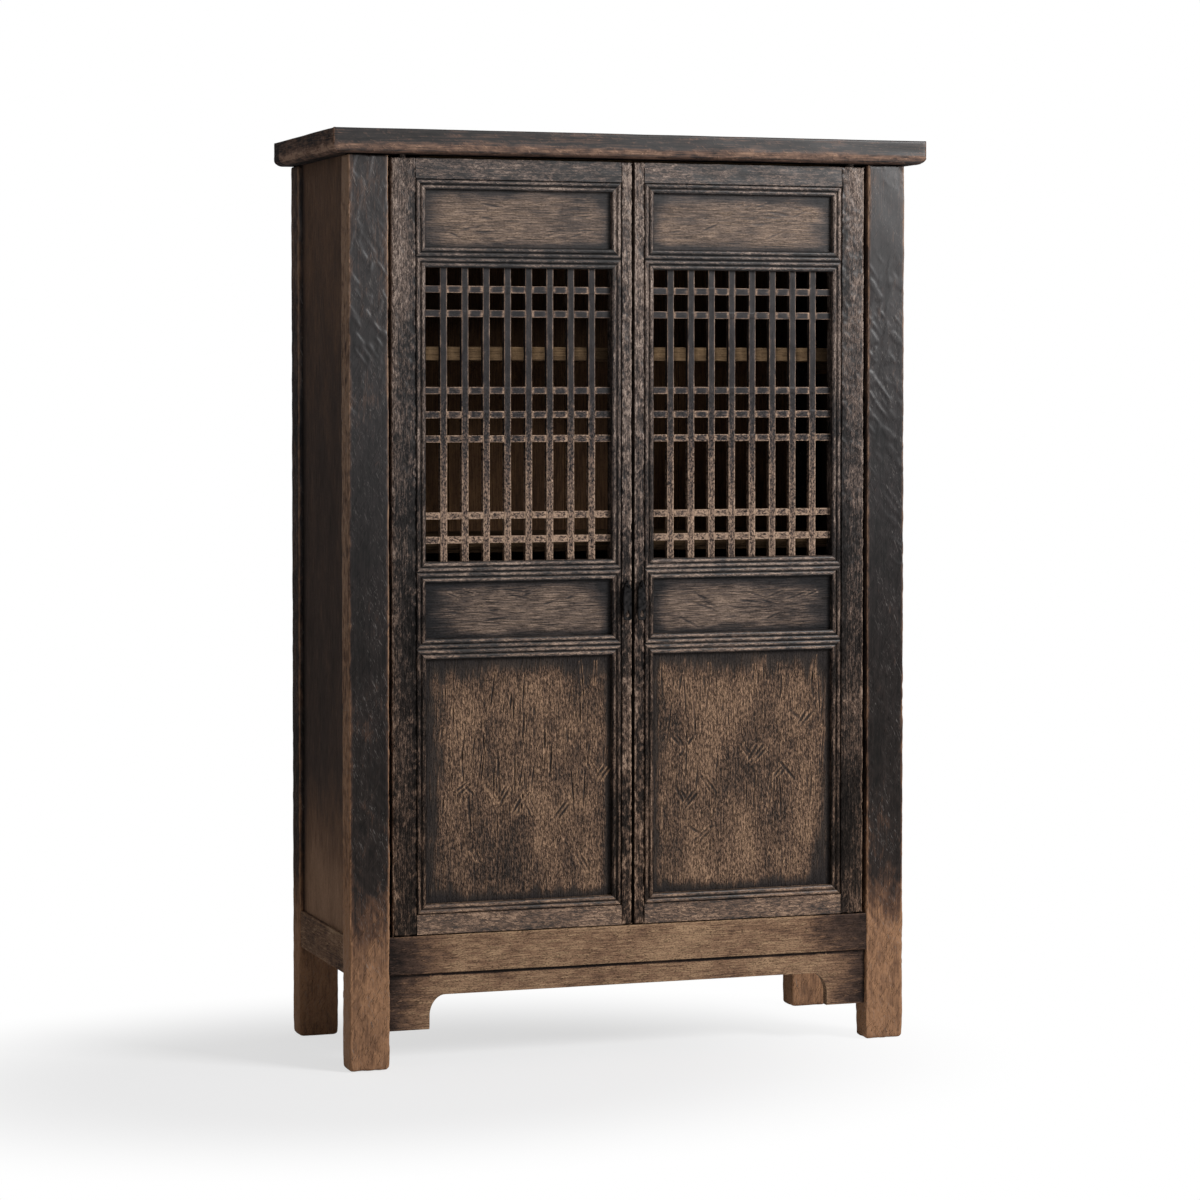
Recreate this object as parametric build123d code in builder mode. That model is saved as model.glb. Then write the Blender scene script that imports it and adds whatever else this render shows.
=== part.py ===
from build123d import *
import os

# Chinese book cabinet: a post-and-rail carcass on four legs, with a mitred frame-and-panel top, three
# shelves and two frame-and-panel doors. The doors turn on wooden pivots worked on their hinge stiles.
# Frame: millimetres, +Z up, the front looks along -Y. The origin is on the floor under the middle of the top.
# Pieces that come in pairs are made for the right side (+X) and mirrored for the left.

# Overall
overall_height = 1830
top_width = 1240
top_depth = 488
front_overhang = 28
side_overhang = 36

# What goes into a mortise, groove or notch clears it by this much each way
joint_clearance = 0.2

# Posts, which run down to the floor as legs
post_width = 82
post_depth = 58
post_edge_radius = 4.5
foot_radius = 4
post_tenon_inset = 8
post_tenon_width = 30
post_tenon_depth = 34
post_tenon_height = 22

# Bottom rails
rail_underside = 185
rail_height = 75
rail_thickness = 36
rail_setback = 2
rail_edge_radius = 3
rail_tenon_length = 42
rail_tenon_thickness = 12
rail_tenon_inset = 14

# Apron: a board below the front rail, stepped and coved down to a spandrel at each post
apron_thickness = 20
apron_setback = 8
apron_depth = 44
apron_tongue = 8
spandrel_width = 82
spandrel_drop = 67
spandrel_step = 24
cove_run = 32

# Top
top_thickness = 48
top_frame_width = 100
top_edge_radius = 18
corner_tenon_margin = 20
corner_tenon_lift = 26
corner_tenon_thickness = 12
top_panel_thickness = 18
top_panel_tongue = 8
brace_count = 2
brace_width = 44
brace_tenon_length = 16
brace_tenon_inset = 7

# Side panels, back boards and bottom boards
panel_tongue = 8
side_panel_thickness = 12
side_panel_recess = 10
back_board_thickness = 12
back_board_recess = 10
back_board_count = 8
bottom_board_thickness = 18
bottom_board_count = 4
board_tongue = 6
board_tongue_thickness = 5
board_gap = 0.7

# Shelves
shelf_thickness = 27
shelf_tops = {"lower": 653, "middle": 1032, "upper": 1411}
shelf_gap = 0.8
shelf_edge_radius = 1.5
cleat_height = 25
cleat_width = 20

# Doors
door_thickness = 30
door_recess = 3
door_side_gap = 4
door_meeting_gap = 4
door_bottom_gap = 2
door_top_gap = 6
hinge_stile_width = 71
meeting_stile_width = 42
door_top_rail_height = 60
door_bottom_rail_height = 59
upper_panel_height = 111.5
waist_panel_height = 110
lattice_height = 574
bead_pitch = 10
bead_rise = 3.5
bead_sunk = 0.5
hinge_edge_radius = 8
meeting_edge_radius = 2
door_tenon_thickness = 12
door_tenon_inset = 10
hinge_tenon_length = 50
meeting_tenon_length = 26
door_panel_thickness = 10
door_panel_recess = 10
door_panel_tongue = 5.5

# Door pivots
pivot_radius = 8
pivot_inset = 27.6
pivot_reach = 14
pivot_clearance = 0.08
pivot_end_gap = 0.3

# Lattice
lattice_recess = 12
lattice_thickness = 14
bar_width = 14.5
bar_tenon = 8
upright_count = 8
upright_pitch = 43.6
crossbar_pitch = 47.3
crossbar_pair_offset = 221.3

# Door stop: a strip under the top frame, behind the doors
stop_height = 20
stop_thickness = 20
stop_gap = 0.5
stop_end_inset = 72

# Pulls: an iron tab that hangs from the eye of a split pin
pull_x = 15
eye_height = 941.5
eye_radius = 6
eye_wire_radius = 1.5
eye_wire_bevel = 0.8
eye_stand_off = 0.5
shank_radius = 2.5
clinch_length = 16
clinch_thickness = 2.4
tab_thickness = 4
tab_length = 71
tab_width = 17
tab_top_width = 10
tab_shoulder_drop = 11
tab_corner_cut = 3
tab_bevel = 1.4
tab_hole_radius = 2.6
tab_hole_drop = 0.4
tab_bridge = 2.3
drop_hole_radius = 4.25
drop_hole_height = 17
drop_hole_lift = 6

# Worked out from the sizes above: carcass
carcass_half = top_width / 2 - side_overhang
carcass_front = -top_depth / 2 + front_overhang
carcass_back = top_depth / 2
post_inner = carcass_half - post_width
post_top = overall_height - top_thickness
front_post_y = (carcass_front, carcass_front + post_depth)
back_post_y = (carcass_back - post_depth, carcass_back)
rail_front = carcass_front + rail_setback
rail_top = rail_underside + rail_height
rail_z = (rail_underside, rail_top)
front_rail_y = (rail_front, rail_front + rail_thickness)
back_rail_y = (carcass_back - rail_setback - rail_thickness, carcass_back - rail_setback)
side_rail_x = (carcass_half - rail_setback - rail_thickness, carcass_half - rail_setback)
rail_tenon_z = (rail_underside + rail_tenon_inset, rail_top - rail_tenon_inset)
apron_y = (rail_front + apron_setback, rail_front + apron_setback + apron_thickness)
apron_edge = rail_underside - apron_depth
spandrel_foot = apron_edge - spandrel_drop
side_panel_x = (carcass_half - side_panel_recess - side_panel_thickness, carcass_half - side_panel_recess)
back_board_y = (carcass_back - back_board_recess - back_board_thickness, carcass_back - back_board_recess)
bottom_board_z = (rail_top - bottom_board_thickness, rail_top)
frame_inner_x = top_width / 2 - top_frame_width
frame_inner_y = top_depth / 2 - top_frame_width
top_z = (post_top, overall_height)
top_panel_z = (overall_height - top_panel_thickness, overall_height)
top_tongue_z = (top_panel_z[0], top_panel_z[0] + top_panel_tongue)

# Worked out: doors
door_y = (carcass_front + door_recess, carcass_front + door_recess + door_thickness)
door_mid = sum(door_y) / 2
door_z = (rail_top + door_bottom_gap, post_top - door_top_gap)
door_x = (door_meeting_gap / 2, post_inner - door_side_gap)
opening_x = (door_x[0] + meeting_stile_width, door_x[1] - hinge_stile_width)
bead_band = 2 * bead_pitch
cross_rail_height = 2 * bead_band
bead_crown = door_y[0] + bead_sunk
bead_root = bead_crown + bead_rise
upper_panel_z = (door_z[1] - door_top_rail_height - upper_panel_height, door_z[1] - door_top_rail_height)
lattice_z = (upper_panel_z[0] - cross_rail_height - lattice_height, upper_panel_z[0] - cross_rail_height)
waist_panel_z = (lattice_z[0] - cross_rail_height - waist_panel_height, lattice_z[0] - cross_rail_height)
lower_panel_z = (door_z[0] + door_bottom_rail_height, waist_panel_z[0] - cross_rail_height)
door_panel_y = (door_y[0] + door_panel_recess, door_y[0] + door_panel_recess + door_panel_thickness)
door_tenon_y = (door_mid - door_tenon_thickness / 2, door_mid + door_tenon_thickness / 2)
pivot_x = door_x[1] - pivot_inset
lattice_y = (door_y[0] + lattice_recess, door_y[0] + lattice_recess + lattice_thickness)
lattice_mid_y = sum(lattice_y) / 2
upright_middle = sum(opening_x) / 2 - (upright_count - 1) / 2 * upright_pitch
upright_x = [upright_middle + n * upright_pitch for n in range(upright_count)]
crossbar_middle = sum(lattice_z) / 2
crossbar_offsets = [-crossbar_pitch, 0, crossbar_pitch]
for pair_offset in (-crossbar_pair_offset, crossbar_pair_offset):
    crossbar_offsets += [pair_offset - crossbar_pitch / 2, pair_offset + crossbar_pitch / 2]
crossbar_z = [crossbar_middle + offset for offset in crossbar_offsets]
eye_y = door_y[0] - eye_stand_off - eye_wire_radius - eye_radius
tab_y = (eye_y - tab_thickness / 2, eye_y + tab_thickness / 2)
tab_hole_z = eye_height - eye_radius - tab_hole_drop
tab_top = tab_hole_z + tab_hole_radius + tab_bridge
tab_foot = tab_top - tab_length


def around(middle, size):
    """The two ends of a size laid out about its middle."""
    return (middle - size / 2, middle + size / 2)


def between(x, y, z, mode=Mode.ADD):
    """A box between three pairs of coordinates, worked into the part that is being built."""
    with Locations((sum(x) / 2, sum(y) / 2, sum(z) / 2)):
        Box(x[1] - x[0], y[1] - y[0], z[1] - z[0], mode=mode)


def eased(box, clearance=joint_clearance):
    """A box grown by a clearance each way, as the mortise or groove for it."""
    return [(low - clearance, high + clearance) for low, high in box]


def cut(boxes):
    """Mortises and grooves for the boxes, in the part that is being built."""
    for box in boxes:
        between(*eased(box), mode=Mode.SUBTRACT)


def mirrored(box):
    """The same box on the left-hand side."""
    return [(-box[0][1], -box[0][0]), box[1], box[2]]


def both_sides(boxes):
    """The boxes of the right-hand side and their twins on the left."""
    return boxes + [mirrored(box) for box in boxes]


def save(part, name):
    """One STEP file for one piece."""
    part.label = name
    export_step(part, f"parts/{name}.step")


def save_pair(part, name):
    """The right-hand piece and its mirror image."""
    save(part, f"right_{name}")
    save(mirror(part, about=Plane.YZ), f"left_{name}")


# Tenons, tongues and boards as boxes on the right-hand side: each is added to one piece and cut in the next
def post_tenon(post_y):
    """Stub tenon on a post's head, near the post's inner face."""
    x_low = post_inner + post_tenon_inset
    return [
        (x_low, x_low + post_tenon_width),
        around(sum(post_y) / 2, post_tenon_depth),
        (post_top, post_top + post_tenon_height),
    ]


def cross_tenon(rail_y):
    """Tenon at the right end of the front or the back rail."""
    return [
        (post_inner, post_inner + rail_tenon_length),
        around(sum(rail_y) / 2, rail_tenon_thickness),
        rail_tenon_z,
    ]


side_tenon_x = around(sum(side_rail_x) / 2, rail_tenon_thickness)
side_tenons = {
    "front": [side_tenon_x, (front_post_y[1] - rail_tenon_length, front_post_y[1]), rail_tenon_z],
    "back": [side_tenon_x, (back_post_y[0], back_post_y[0] + rail_tenon_length), rail_tenon_z],
}
apron_tongue_y = around(sum(apron_y) / 2, apron_tongue)
apron_end_tongue = [
    (post_inner, post_inner + apron_tongue),
    apron_tongue_y,
    (spandrel_foot + apron_tongue, rail_underside - apron_tongue),
]
apron_top_tongue = [
    (-post_inner + apron_tongue, post_inner - apron_tongue),
    apron_tongue_y,
    (rail_underside, rail_underside + apron_tongue),
]
side_panel_box = [
    side_panel_x,
    (front_post_y[1] - panel_tongue, back_post_y[0] + panel_tongue),
    (rail_top - panel_tongue, post_top + panel_tongue),
]
back_boards_box = [
    (-post_inner - panel_tongue, post_inner + panel_tongue),
    back_board_y,
    (rail_top - panel_tongue, post_top + panel_tongue),
]
bottom_tongue_box = [
    (-side_rail_x[0] - board_tongue, side_rail_x[0] + board_tongue),
    (front_rail_y[1] - board_tongue, back_rail_y[0] + board_tongue),
    (bottom_board_z[0], bottom_board_z[0] + board_tongue_thickness),
]
top_tongue_box = [
    (-frame_inner_x - top_panel_tongue, frame_inner_x + top_panel_tongue),
    (-frame_inner_y - top_panel_tongue, frame_inner_y + top_panel_tongue),
    top_tongue_z,
]
post_boxes = [[(post_inner, carcass_half), post_y, (0, post_top)] for post_y in (front_post_y, back_post_y)]
brace_centres = [(2 * n + 1 - brace_count) / brace_count * frame_inner_x for n in range(brace_count)]
brace_z = (post_top, top_panel_z[0])
brace_tenon_z = (post_top + brace_tenon_inset, top_panel_z[0] - brace_tenon_inset)
brace_tenon_y = around(0, 2 * (frame_inner_y + brace_tenon_length))
brace_tenons = [
    [around(x, brace_width - 2 * brace_tenon_inset), brace_tenon_y, brace_tenon_z] for x in brace_centres
]


# Posts
def post(post_y, mortises):
    """A post that is also a leg: softened edges and foot, a stub tenon on its head, and its mortises."""
    with BuildPart() as made:
        with BuildSketch():
            with Locations((sum(post_boxes[0][0]) / 2, sum(post_y) / 2)):
                RectangleRounded(post_width, post_depth, post_edge_radius)
        extrude(amount=post_top)
        fillet(made.edges().group_by(Axis.Z)[0], foot_radius)
        between(*post_tenon(post_y))
        cut(mortises)
    return made.part


# Rails
def cross_rail(rail_y, outer):
    """The front or the back rail, tenoned into the posts, with the long edges of its outer face softened."""
    with BuildPart() as made:
        between((-post_inner, post_inner), rail_y, rail_z)
        fillet(made.edges().filter_by(Axis.X).group_by(Axis.Y)[outer], rail_edge_radius)
        for tenon in both_sides([cross_tenon(rail_y)]):
            between(*tenon)
        cut([bottom_tongue_box])
    return made.part


def front_bottom_rail():
    """The front rail: it carries the doors' foot pivots in round sockets, and is grooved for the apron."""
    with BuildPart() as made:
        add(cross_rail(front_rail_y, 0))
        cut([apron_top_tongue])
        with Locations(*[(side * pivot_x, door_mid, rail_top) for side in (-1, 1)]):
            Hole(pivot_radius + pivot_clearance, depth=pivot_reach + pivot_end_gap)
    return made.part


def back_bottom_rail():
    """The back rail, grooved along its top for the back boards."""
    with BuildPart() as made:
        add(cross_rail(back_rail_y, -1))
        cut([back_boards_box])
    return made.part


def side_bottom_rail():
    """A side rail between the front and back posts, grooved for the side panel and the bottom boards."""
    with BuildPart() as made:
        between(side_rail_x, (front_post_y[1], back_post_y[0]), rail_z)
        fillet(made.edges().filter_by(Axis.Y).group_by(Axis.X)[-1], rail_edge_radius)
        for tenon in side_tenons.values():
            between(*tenon)
        cut([side_panel_box, bottom_tongue_box])
    return made.part


def apron():
    """The apron board, tongued into the rail above it and into the posts."""
    with BuildPart() as made:
        with BuildSketch(Plane.XZ.offset(-apron_y[0])):
            with BuildLine():
                step_x = post_inner - spandrel_width
                step_top = (step_x, spandrel_foot + spandrel_step)
                cove_end = (step_x - cove_run, apron_edge)
                Polyline(
                    (0, rail_underside),
                    (post_inner, rail_underside),
                    (post_inner, spandrel_foot),
                    (step_x, spandrel_foot),
                    step_top,
                )
                TangentArc(step_top, cove_end, tangent=(0, 1))
                Line(cove_end, (0, apron_edge))
                mirror(about=Plane.YZ)
            make_face()
        extrude(amount=-apron_thickness)
        between(*apron_top_tongue)
        for tongue in both_sides([apron_end_tongue]):
            between(*tongue)
    return made.part


# Panels and boards
def side_panel():
    """A side panel of one wide board, held in grooves all round."""
    with BuildPart() as made:
        between(*side_panel_box)
    return made.part


def back_boards():
    """Upright tongue-and-groove boards, side by side in the grooves of the back posts, rail and top."""
    width = (back_boards_box[0][1] - back_boards_box[0][0]) / back_board_count
    tongue_y = around(sum(back_board_y) / 2, board_tongue_thickness)
    seams = [back_boards_box[0][0] + n * width for n in range(1, back_board_count)]
    with BuildPart() as made:
        between(*back_boards_box)
        for seam in seams:
            between(around(seam, board_gap), back_board_y, back_boards_box[2], mode=Mode.SUBTRACT)
            groove = [(seam, seam + board_tongue), tongue_y, back_boards_box[2]]
            between(*eased(groove), mode=Mode.SUBTRACT)
        for seam in seams:
            root = seam - board_gap
            between((root, seam + board_tongue), tongue_y, back_boards_box[2])
    return made.part


def bottom_boards():
    """The floor of the cabinet: long boards tongued into the four rails and notched round the posts."""
    floor_x = (-side_rail_x[0], side_rail_x[0])
    floor_y = (front_rail_y[1], back_rail_y[0])
    width = (floor_y[1] - floor_y[0]) / bottom_board_count
    with BuildPart() as made:
        between(floor_x, floor_y, bottom_board_z)
        between(*bottom_tongue_box)
        cut(both_sides(post_boxes))
        for n in range(1, bottom_board_count):
            seam = floor_y[0] + n * width
            between(bottom_tongue_box[0], around(seam, board_gap), bottom_board_z, mode=Mode.SUBTRACT)
    return made.part


# Shelves
def shelf(top):
    """A thick board that lies on its cleats between the side panels, notched round the back posts."""
    reach = side_panel_x[0] - shelf_gap
    with BuildPart() as made:
        between(
            (-reach, reach),
            (front_post_y[1] + shelf_gap, back_board_y[0] - shelf_gap),
            (top - shelf_thickness, top),
        )
        fillet(made.edges().filter_by(Axis.X).group_by(Axis.Y)[0], shelf_edge_radius)
        for box in both_sides(post_boxes[1:]):
            between(*eased(box, shelf_gap), mode=Mode.SUBTRACT)
    return made.part


def shelf_cleats():
    """The strips fixed to a side panel, one under the end of each shelf."""
    with BuildPart() as made:
        for top in shelf_tops.values():
            underside = top - shelf_thickness
            between(
                (side_panel_x[0] - cleat_width, side_panel_x[0]),
                (front_post_y[1] + joint_clearance, back_post_y[0] - joint_clearance),
                (underside - cleat_height, underside),
            )
    return made.part


# Top: four members mitred at the corners, with a tenon hidden in each mitre
def corner_tenon(end):
    """Tenon of the right member into the front member (end -1) or the back member (end 1)."""
    x = (frame_inner_x + corner_tenon_margin, top_width / 2 - corner_tenon_margin)
    y = sorted(end * (edge - top_width / 2 + top_depth / 2) for edge in x)
    z_low = post_top + corner_tenon_lift
    return [x, tuple(y), (z_low, z_low + corner_tenon_thickness)]


def top_slab():
    """The whole frame before it is parted into members, with every mortise, socket and groove in it."""
    with BuildPart() as made:
        with BuildSketch(Plane.XY.offset(post_top)):
            Rectangle(top_width, top_depth)
        extrude(amount=top_thickness)
        lower = made.edges().group_by(Axis.Z)[0]
        fillet(lower.sort_by(Axis.Y)[:-1], top_edge_radius)
        with BuildSketch(Plane.XY.offset(post_top)):
            Rectangle(2 * frame_inner_x, 2 * frame_inner_y)
        extrude(amount=top_thickness, mode=Mode.SUBTRACT)
        cut([top_tongue_box, back_boards_box] + brace_tenons)
        cut(both_sides([post_tenon(front_post_y), post_tenon(back_post_y), side_panel_box]))
        with BuildSketch(Plane.XY.offset(post_top)):
            with Locations((-pivot_x, door_mid), (pivot_x, door_mid)):
                Circle(pivot_radius + pivot_clearance)
        extrude(amount=pivot_reach + pivot_end_gap, mode=Mode.SUBTRACT)
    return made.part


def member(slab, corners):
    """The part of the slab inside a plan outline whose ends are mitres."""
    with BuildPart() as made:
        add(slab)
        with BuildSketch(Plane.XY.offset(post_top)):
            with BuildLine():
                Polyline(*corners, close=True)
            make_face()
        extrude(amount=top_thickness, mode=Mode.INTERSECT)
    return made.part


def long_member(slab, end):
    """The front (end -1) or back (end 1) member, mortised at its mitres."""
    outer_x, outer_y = top_width / 2, end * top_depth / 2
    inner_y = end * frame_inner_y
    corners = [(-outer_x, outer_y), (outer_x, outer_y), (frame_inner_x, inner_y), (-frame_inner_x, inner_y)]
    with BuildPart() as made:
        add(member(slab, corners))
        cut(both_sides([corner_tenon(end)]))
    return made.part


def end_member(slab):
    """The right-hand member, with a tenon at each mitre."""
    outer_x, outer_y = top_width / 2, top_depth / 2
    corners = [
        (outer_x, -outer_y),
        (outer_x, outer_y),
        (frame_inner_x, frame_inner_y),
        (frame_inner_x, -frame_inner_y),
    ]
    with BuildPart() as made:
        add(member(slab, corners))
        for end in (-1, 1):
            between(*corner_tenon(end))
    return made.part


def top_panel():
    """The floating panel, flush with the frame's upper face, with a tongue all round its lower edge."""
    with BuildPart() as made:
        between(
            (-frame_inner_x + joint_clearance, frame_inner_x - joint_clearance),
            (-frame_inner_y + joint_clearance, frame_inner_y - joint_clearance),
            top_panel_z,
        )
        between(*top_tongue_box)
    return made.part


def top_braces():
    """Battens across the underside of the panel, tenoned into the front and back members."""
    with BuildPart() as made:
        for x, tenon in zip(brace_centres, brace_tenons):
            between(around(x, brace_width), (-frame_inner_y, frame_inner_y), brace_z)
            between(*tenon)
    return made.part


def door_stop():
    """The strip that the closed doors come up against, short enough to clear the turning hinge stiles."""
    with BuildPart() as made:
        between(
            (-post_inner + stop_end_inset, post_inner - stop_end_inset),
            (door_y[1] + stop_gap, door_y[1] + stop_gap + stop_thickness),
            (post_top - stop_height, post_top),
        )
    return made.part


# Each door rail's edges in Z: a cross rail's lower and upper edge, an end rail's beaded and plain edge
cross_rails_z = {
    "upper": (lattice_z[1], upper_panel_z[0]),
    "middle": (waist_panel_z[1], lattice_z[0]),
    "lower": (lower_panel_z[1], waist_panel_z[0]),
}
end_rails_z = {"top": (upper_panel_z[1], door_z[1]), "bottom": (lower_panel_z[0], door_z[0])}
door_rails_z = list(cross_rails_z.values()) + list(end_rails_z.values())


# Door frames: two half-round beads run round each opening, and each rail's ends are cut to points that let
# them turn the corners in true mitres
def beads(start, along, crown, count):
    """Half-round beads side by side from a start point: each spans one pitch, and rises to its crown."""
    for n in range(count):
        low = Vector(*start) + Vector(*along) * n * bead_pitch
        high = low + Vector(*along) * bead_pitch
        ThreePointArc(low, (low + high) / 2 + Vector(*crown) * bead_rise, high)


def rail_outline(z_range):
    """Front outline of a door rail, with the mitred points at its ends."""
    left, right = opening_x
    low, high = z_range
    if (low, high) in cross_rails_z.values():
        middle = (low + high) / 2
        points = [(right + bead_band, middle), (right, high), (left, high), (left - bead_band, middle)]
    else:
        turn = bead_band if high > low else -bead_band
        points = [(right + bead_band, low + turn), (right + bead_band, high)]
        points += [(left - bead_band, high), (left - bead_band, low + turn)]
    return [(left, low), (right, low)] + points


def rail_tenon(z_range):
    """The tenon that runs through a door rail and out at both ends, into the stiles."""
    low, high = sorted(z_range)
    return [
        (opening_x[0] - meeting_tenon_length, opening_x[1] + hinge_tenon_length),
        door_tenon_y,
        (low + door_tenon_inset, high - door_tenon_inset),
    ]


def door_panel_box(panel_z):
    """A door panel with its tongues, which lie in grooves in the stiles and rails."""
    return [
        (opening_x[0] - door_panel_tongue, opening_x[1] + door_panel_tongue),
        door_panel_y,
        (panel_z[0] - door_panel_tongue, panel_z[1] + door_panel_tongue),
    ]


door_panels = {
    "upper": door_panel_box(upper_panel_z),
    "waist": door_panel_box(waist_panel_z),
    "lower": door_panel_box(lower_panel_z),
}
bar_tenon_x = (opening_x[0] - bar_tenon, opening_x[1] + bar_tenon)
bar_tenon_y = around(lattice_mid_y, bar_tenon)
bar_tenon_z = (lattice_z[0] - bar_tenon, lattice_z[1] + bar_tenon)
upright_tenons = [[around(x, bar_tenon), bar_tenon_y, bar_tenon_z] for x in upright_x]
crossbar_tenons = [[bar_tenon_x, bar_tenon_y, around(z, bar_tenon)] for z in crossbar_z]
stile_grooves = list(door_panels.values()) + crossbar_tenons
rail_grooves = list(door_panels.values()) + upright_tenons


def stile_blank(edge_x, opening_edge, radius):
    """A stile before its joints: flat face, two beads towards the opening, rounded outer edges."""
    inward = 1 if edge_x > opening_edge else -1
    flat_edge = opening_edge + inward * bead_band
    with BuildPart() as made:
        with BuildSketch(Plane.XY.offset(door_z[0])):
            with BuildLine():
                beads((opening_edge, bead_root), (inward, 0), (0, -1), 2)
                Polyline(
                    (flat_edge, bead_root),
                    (flat_edge, door_y[0]),
                    (edge_x, door_y[0]),
                    (edge_x, door_y[1]),
                    (opening_edge, door_y[1]),
                    (opening_edge, bead_root),
                )
            make_face()
        extrude(amount=door_z[1] - door_z[0])
        across = made.edges().filter_by(Axis.Z).group_by(Axis.X)
        fillet(across[-1] if inward > 0 else across[0], radius)
    return made.part


def stile(blank):
    """A stile with the mitred notches, mortises, grooves and bar sockets of everything that meets it."""
    with BuildPart() as made:
        add(blank)
        for z_range in door_rails_z:
            with BuildSketch(Plane.XZ.offset(-door_mid)):
                with BuildLine():
                    Polyline(*rail_outline(z_range), close=True)
                make_face()
            extrude(amount=door_thickness, both=True, mode=Mode.SUBTRACT)
        cut([rail_tenon(z_range) for z_range in door_rails_z] + stile_grooves)
    return made.part


def hinge_stile():
    """The outer stile, with a round pivot worked on its head and on its foot."""
    with BuildPart() as made:
        add(stile(stile_blank(door_x[1], opening_x[1], hinge_edge_radius)))
        head_reach = door_top_gap + pivot_reach
        foot_reach = door_bottom_gap + pivot_reach
        for z, reach in ((door_z[1], head_reach), (door_z[0], -foot_reach)):
            with BuildSketch(Plane.XY.offset(z)):
                with Locations((pivot_x, door_mid)):
                    Circle(pivot_radius)
            extrude(amount=reach)
    return made.part


def meeting_stile():
    """The inner stile, bored for the split pin of the pull."""
    with BuildPart() as made:
        add(stile(stile_blank(door_x[0], opening_x[0], meeting_edge_radius)))
        with BuildSketch(Plane.XZ.offset(-door_mid)):
            with Locations((pull_x, eye_height)):
                Circle(shank_radius + joint_clearance)
        extrude(amount=door_thickness, both=True, mode=Mode.SUBTRACT)
    return made.part


def door_rail(z_range):
    """A door rail: its beads run along it, and its ends are cut to the mitred outline and tenoned."""
    low, high = z_range
    with BuildPart() as made:
        with BuildSketch(Plane.YZ.offset(opening_x[0] - bead_band)):
            with BuildLine():
                if z_range in cross_rails_z.values():
                    beads((bead_root, low), (0, 1), (-1, 0), 4)
                    Polyline((bead_root, high), (door_y[1], high), (door_y[1], low), (bead_root, low))
                else:
                    turn = 1 if high > low else -1
                    flat = low + turn * bead_band
                    beads((bead_root, low), (0, turn), (-1, 0), 2)
                    Polyline(
                        (bead_root, flat),
                        (door_y[0], flat),
                        (door_y[0], high),
                        (door_y[1], high),
                        (door_y[1], low),
                        (bead_root, low),
                    )
            make_face()
        extrude(amount=opening_x[1] - opening_x[0] + 2 * bead_band)
        with BuildSketch(Plane.XZ.offset(-door_mid)):
            with BuildLine():
                Polyline(*rail_outline(z_range), close=True)
            make_face()
        extrude(amount=door_thickness, both=True, mode=Mode.INTERSECT)
        between(*rail_tenon(z_range))
        cut(rail_grooves)
    return made.part


def door_panel(name):
    """A door panel with its tongues."""
    with BuildPart() as made:
        between(*door_panels[name])
    return made.part


# Lattice: square bars, half-lapped flush at every crossing, the uprights in front
def lattice_uprights():
    """The upright bars, notched from the back for the crossbars."""
    with BuildPart() as made:
        for x, tenon in zip(upright_x, upright_tenons):
            between(around(x, bar_width), lattice_y, lattice_z)
            between(*tenon)
        for z in crossbar_z:
            notch_z = around(z, bar_width + 2 * joint_clearance)
            between(opening_x, (lattice_mid_y, lattice_y[1]), notch_z, mode=Mode.SUBTRACT)
    return made.part


def lattice_crossbars():
    """The crossbars, notched from the front for the uprights."""
    with BuildPart() as made:
        for z, tenon in zip(crossbar_z, crossbar_tenons):
            between(opening_x, lattice_y, around(z, bar_width))
            between(*tenon)
        for x in upright_x:
            notch_x = around(x, bar_width + 2 * joint_clearance)
            between(notch_x, (lattice_y[0], lattice_mid_y), lattice_z, mode=Mode.SUBTRACT)
    return made.part


# Pulls
def pull_pin():
    """The split pin: an eye in front of the stile, a shank through it, and two legs clinched flat behind."""
    shank_start = eye_y + eye_radius
    with BuildPart() as made:
        with BuildSketch(Plane.YZ.offset(pull_x)):
            with Locations((eye_y, eye_height)):
                Circle(eye_radius + eye_wire_radius)
                Circle(eye_radius - eye_wire_radius, mode=Mode.SUBTRACT)
        extrude(amount=eye_wire_radius, both=True)
        chamfer(made.edges(), eye_wire_bevel)
        with BuildSketch(Plane.XZ.offset(-shank_start)):
            with Locations((pull_x, eye_height)):
                Circle(shank_radius)
        extrude(amount=-(door_y[1] + clinch_thickness - shank_start))
        between(
            around(pull_x, 2 * shank_radius),
            (door_y[1], door_y[1] + clinch_thickness),
            around(eye_height, 2 * clinch_length),
        )
    return made.part


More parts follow.
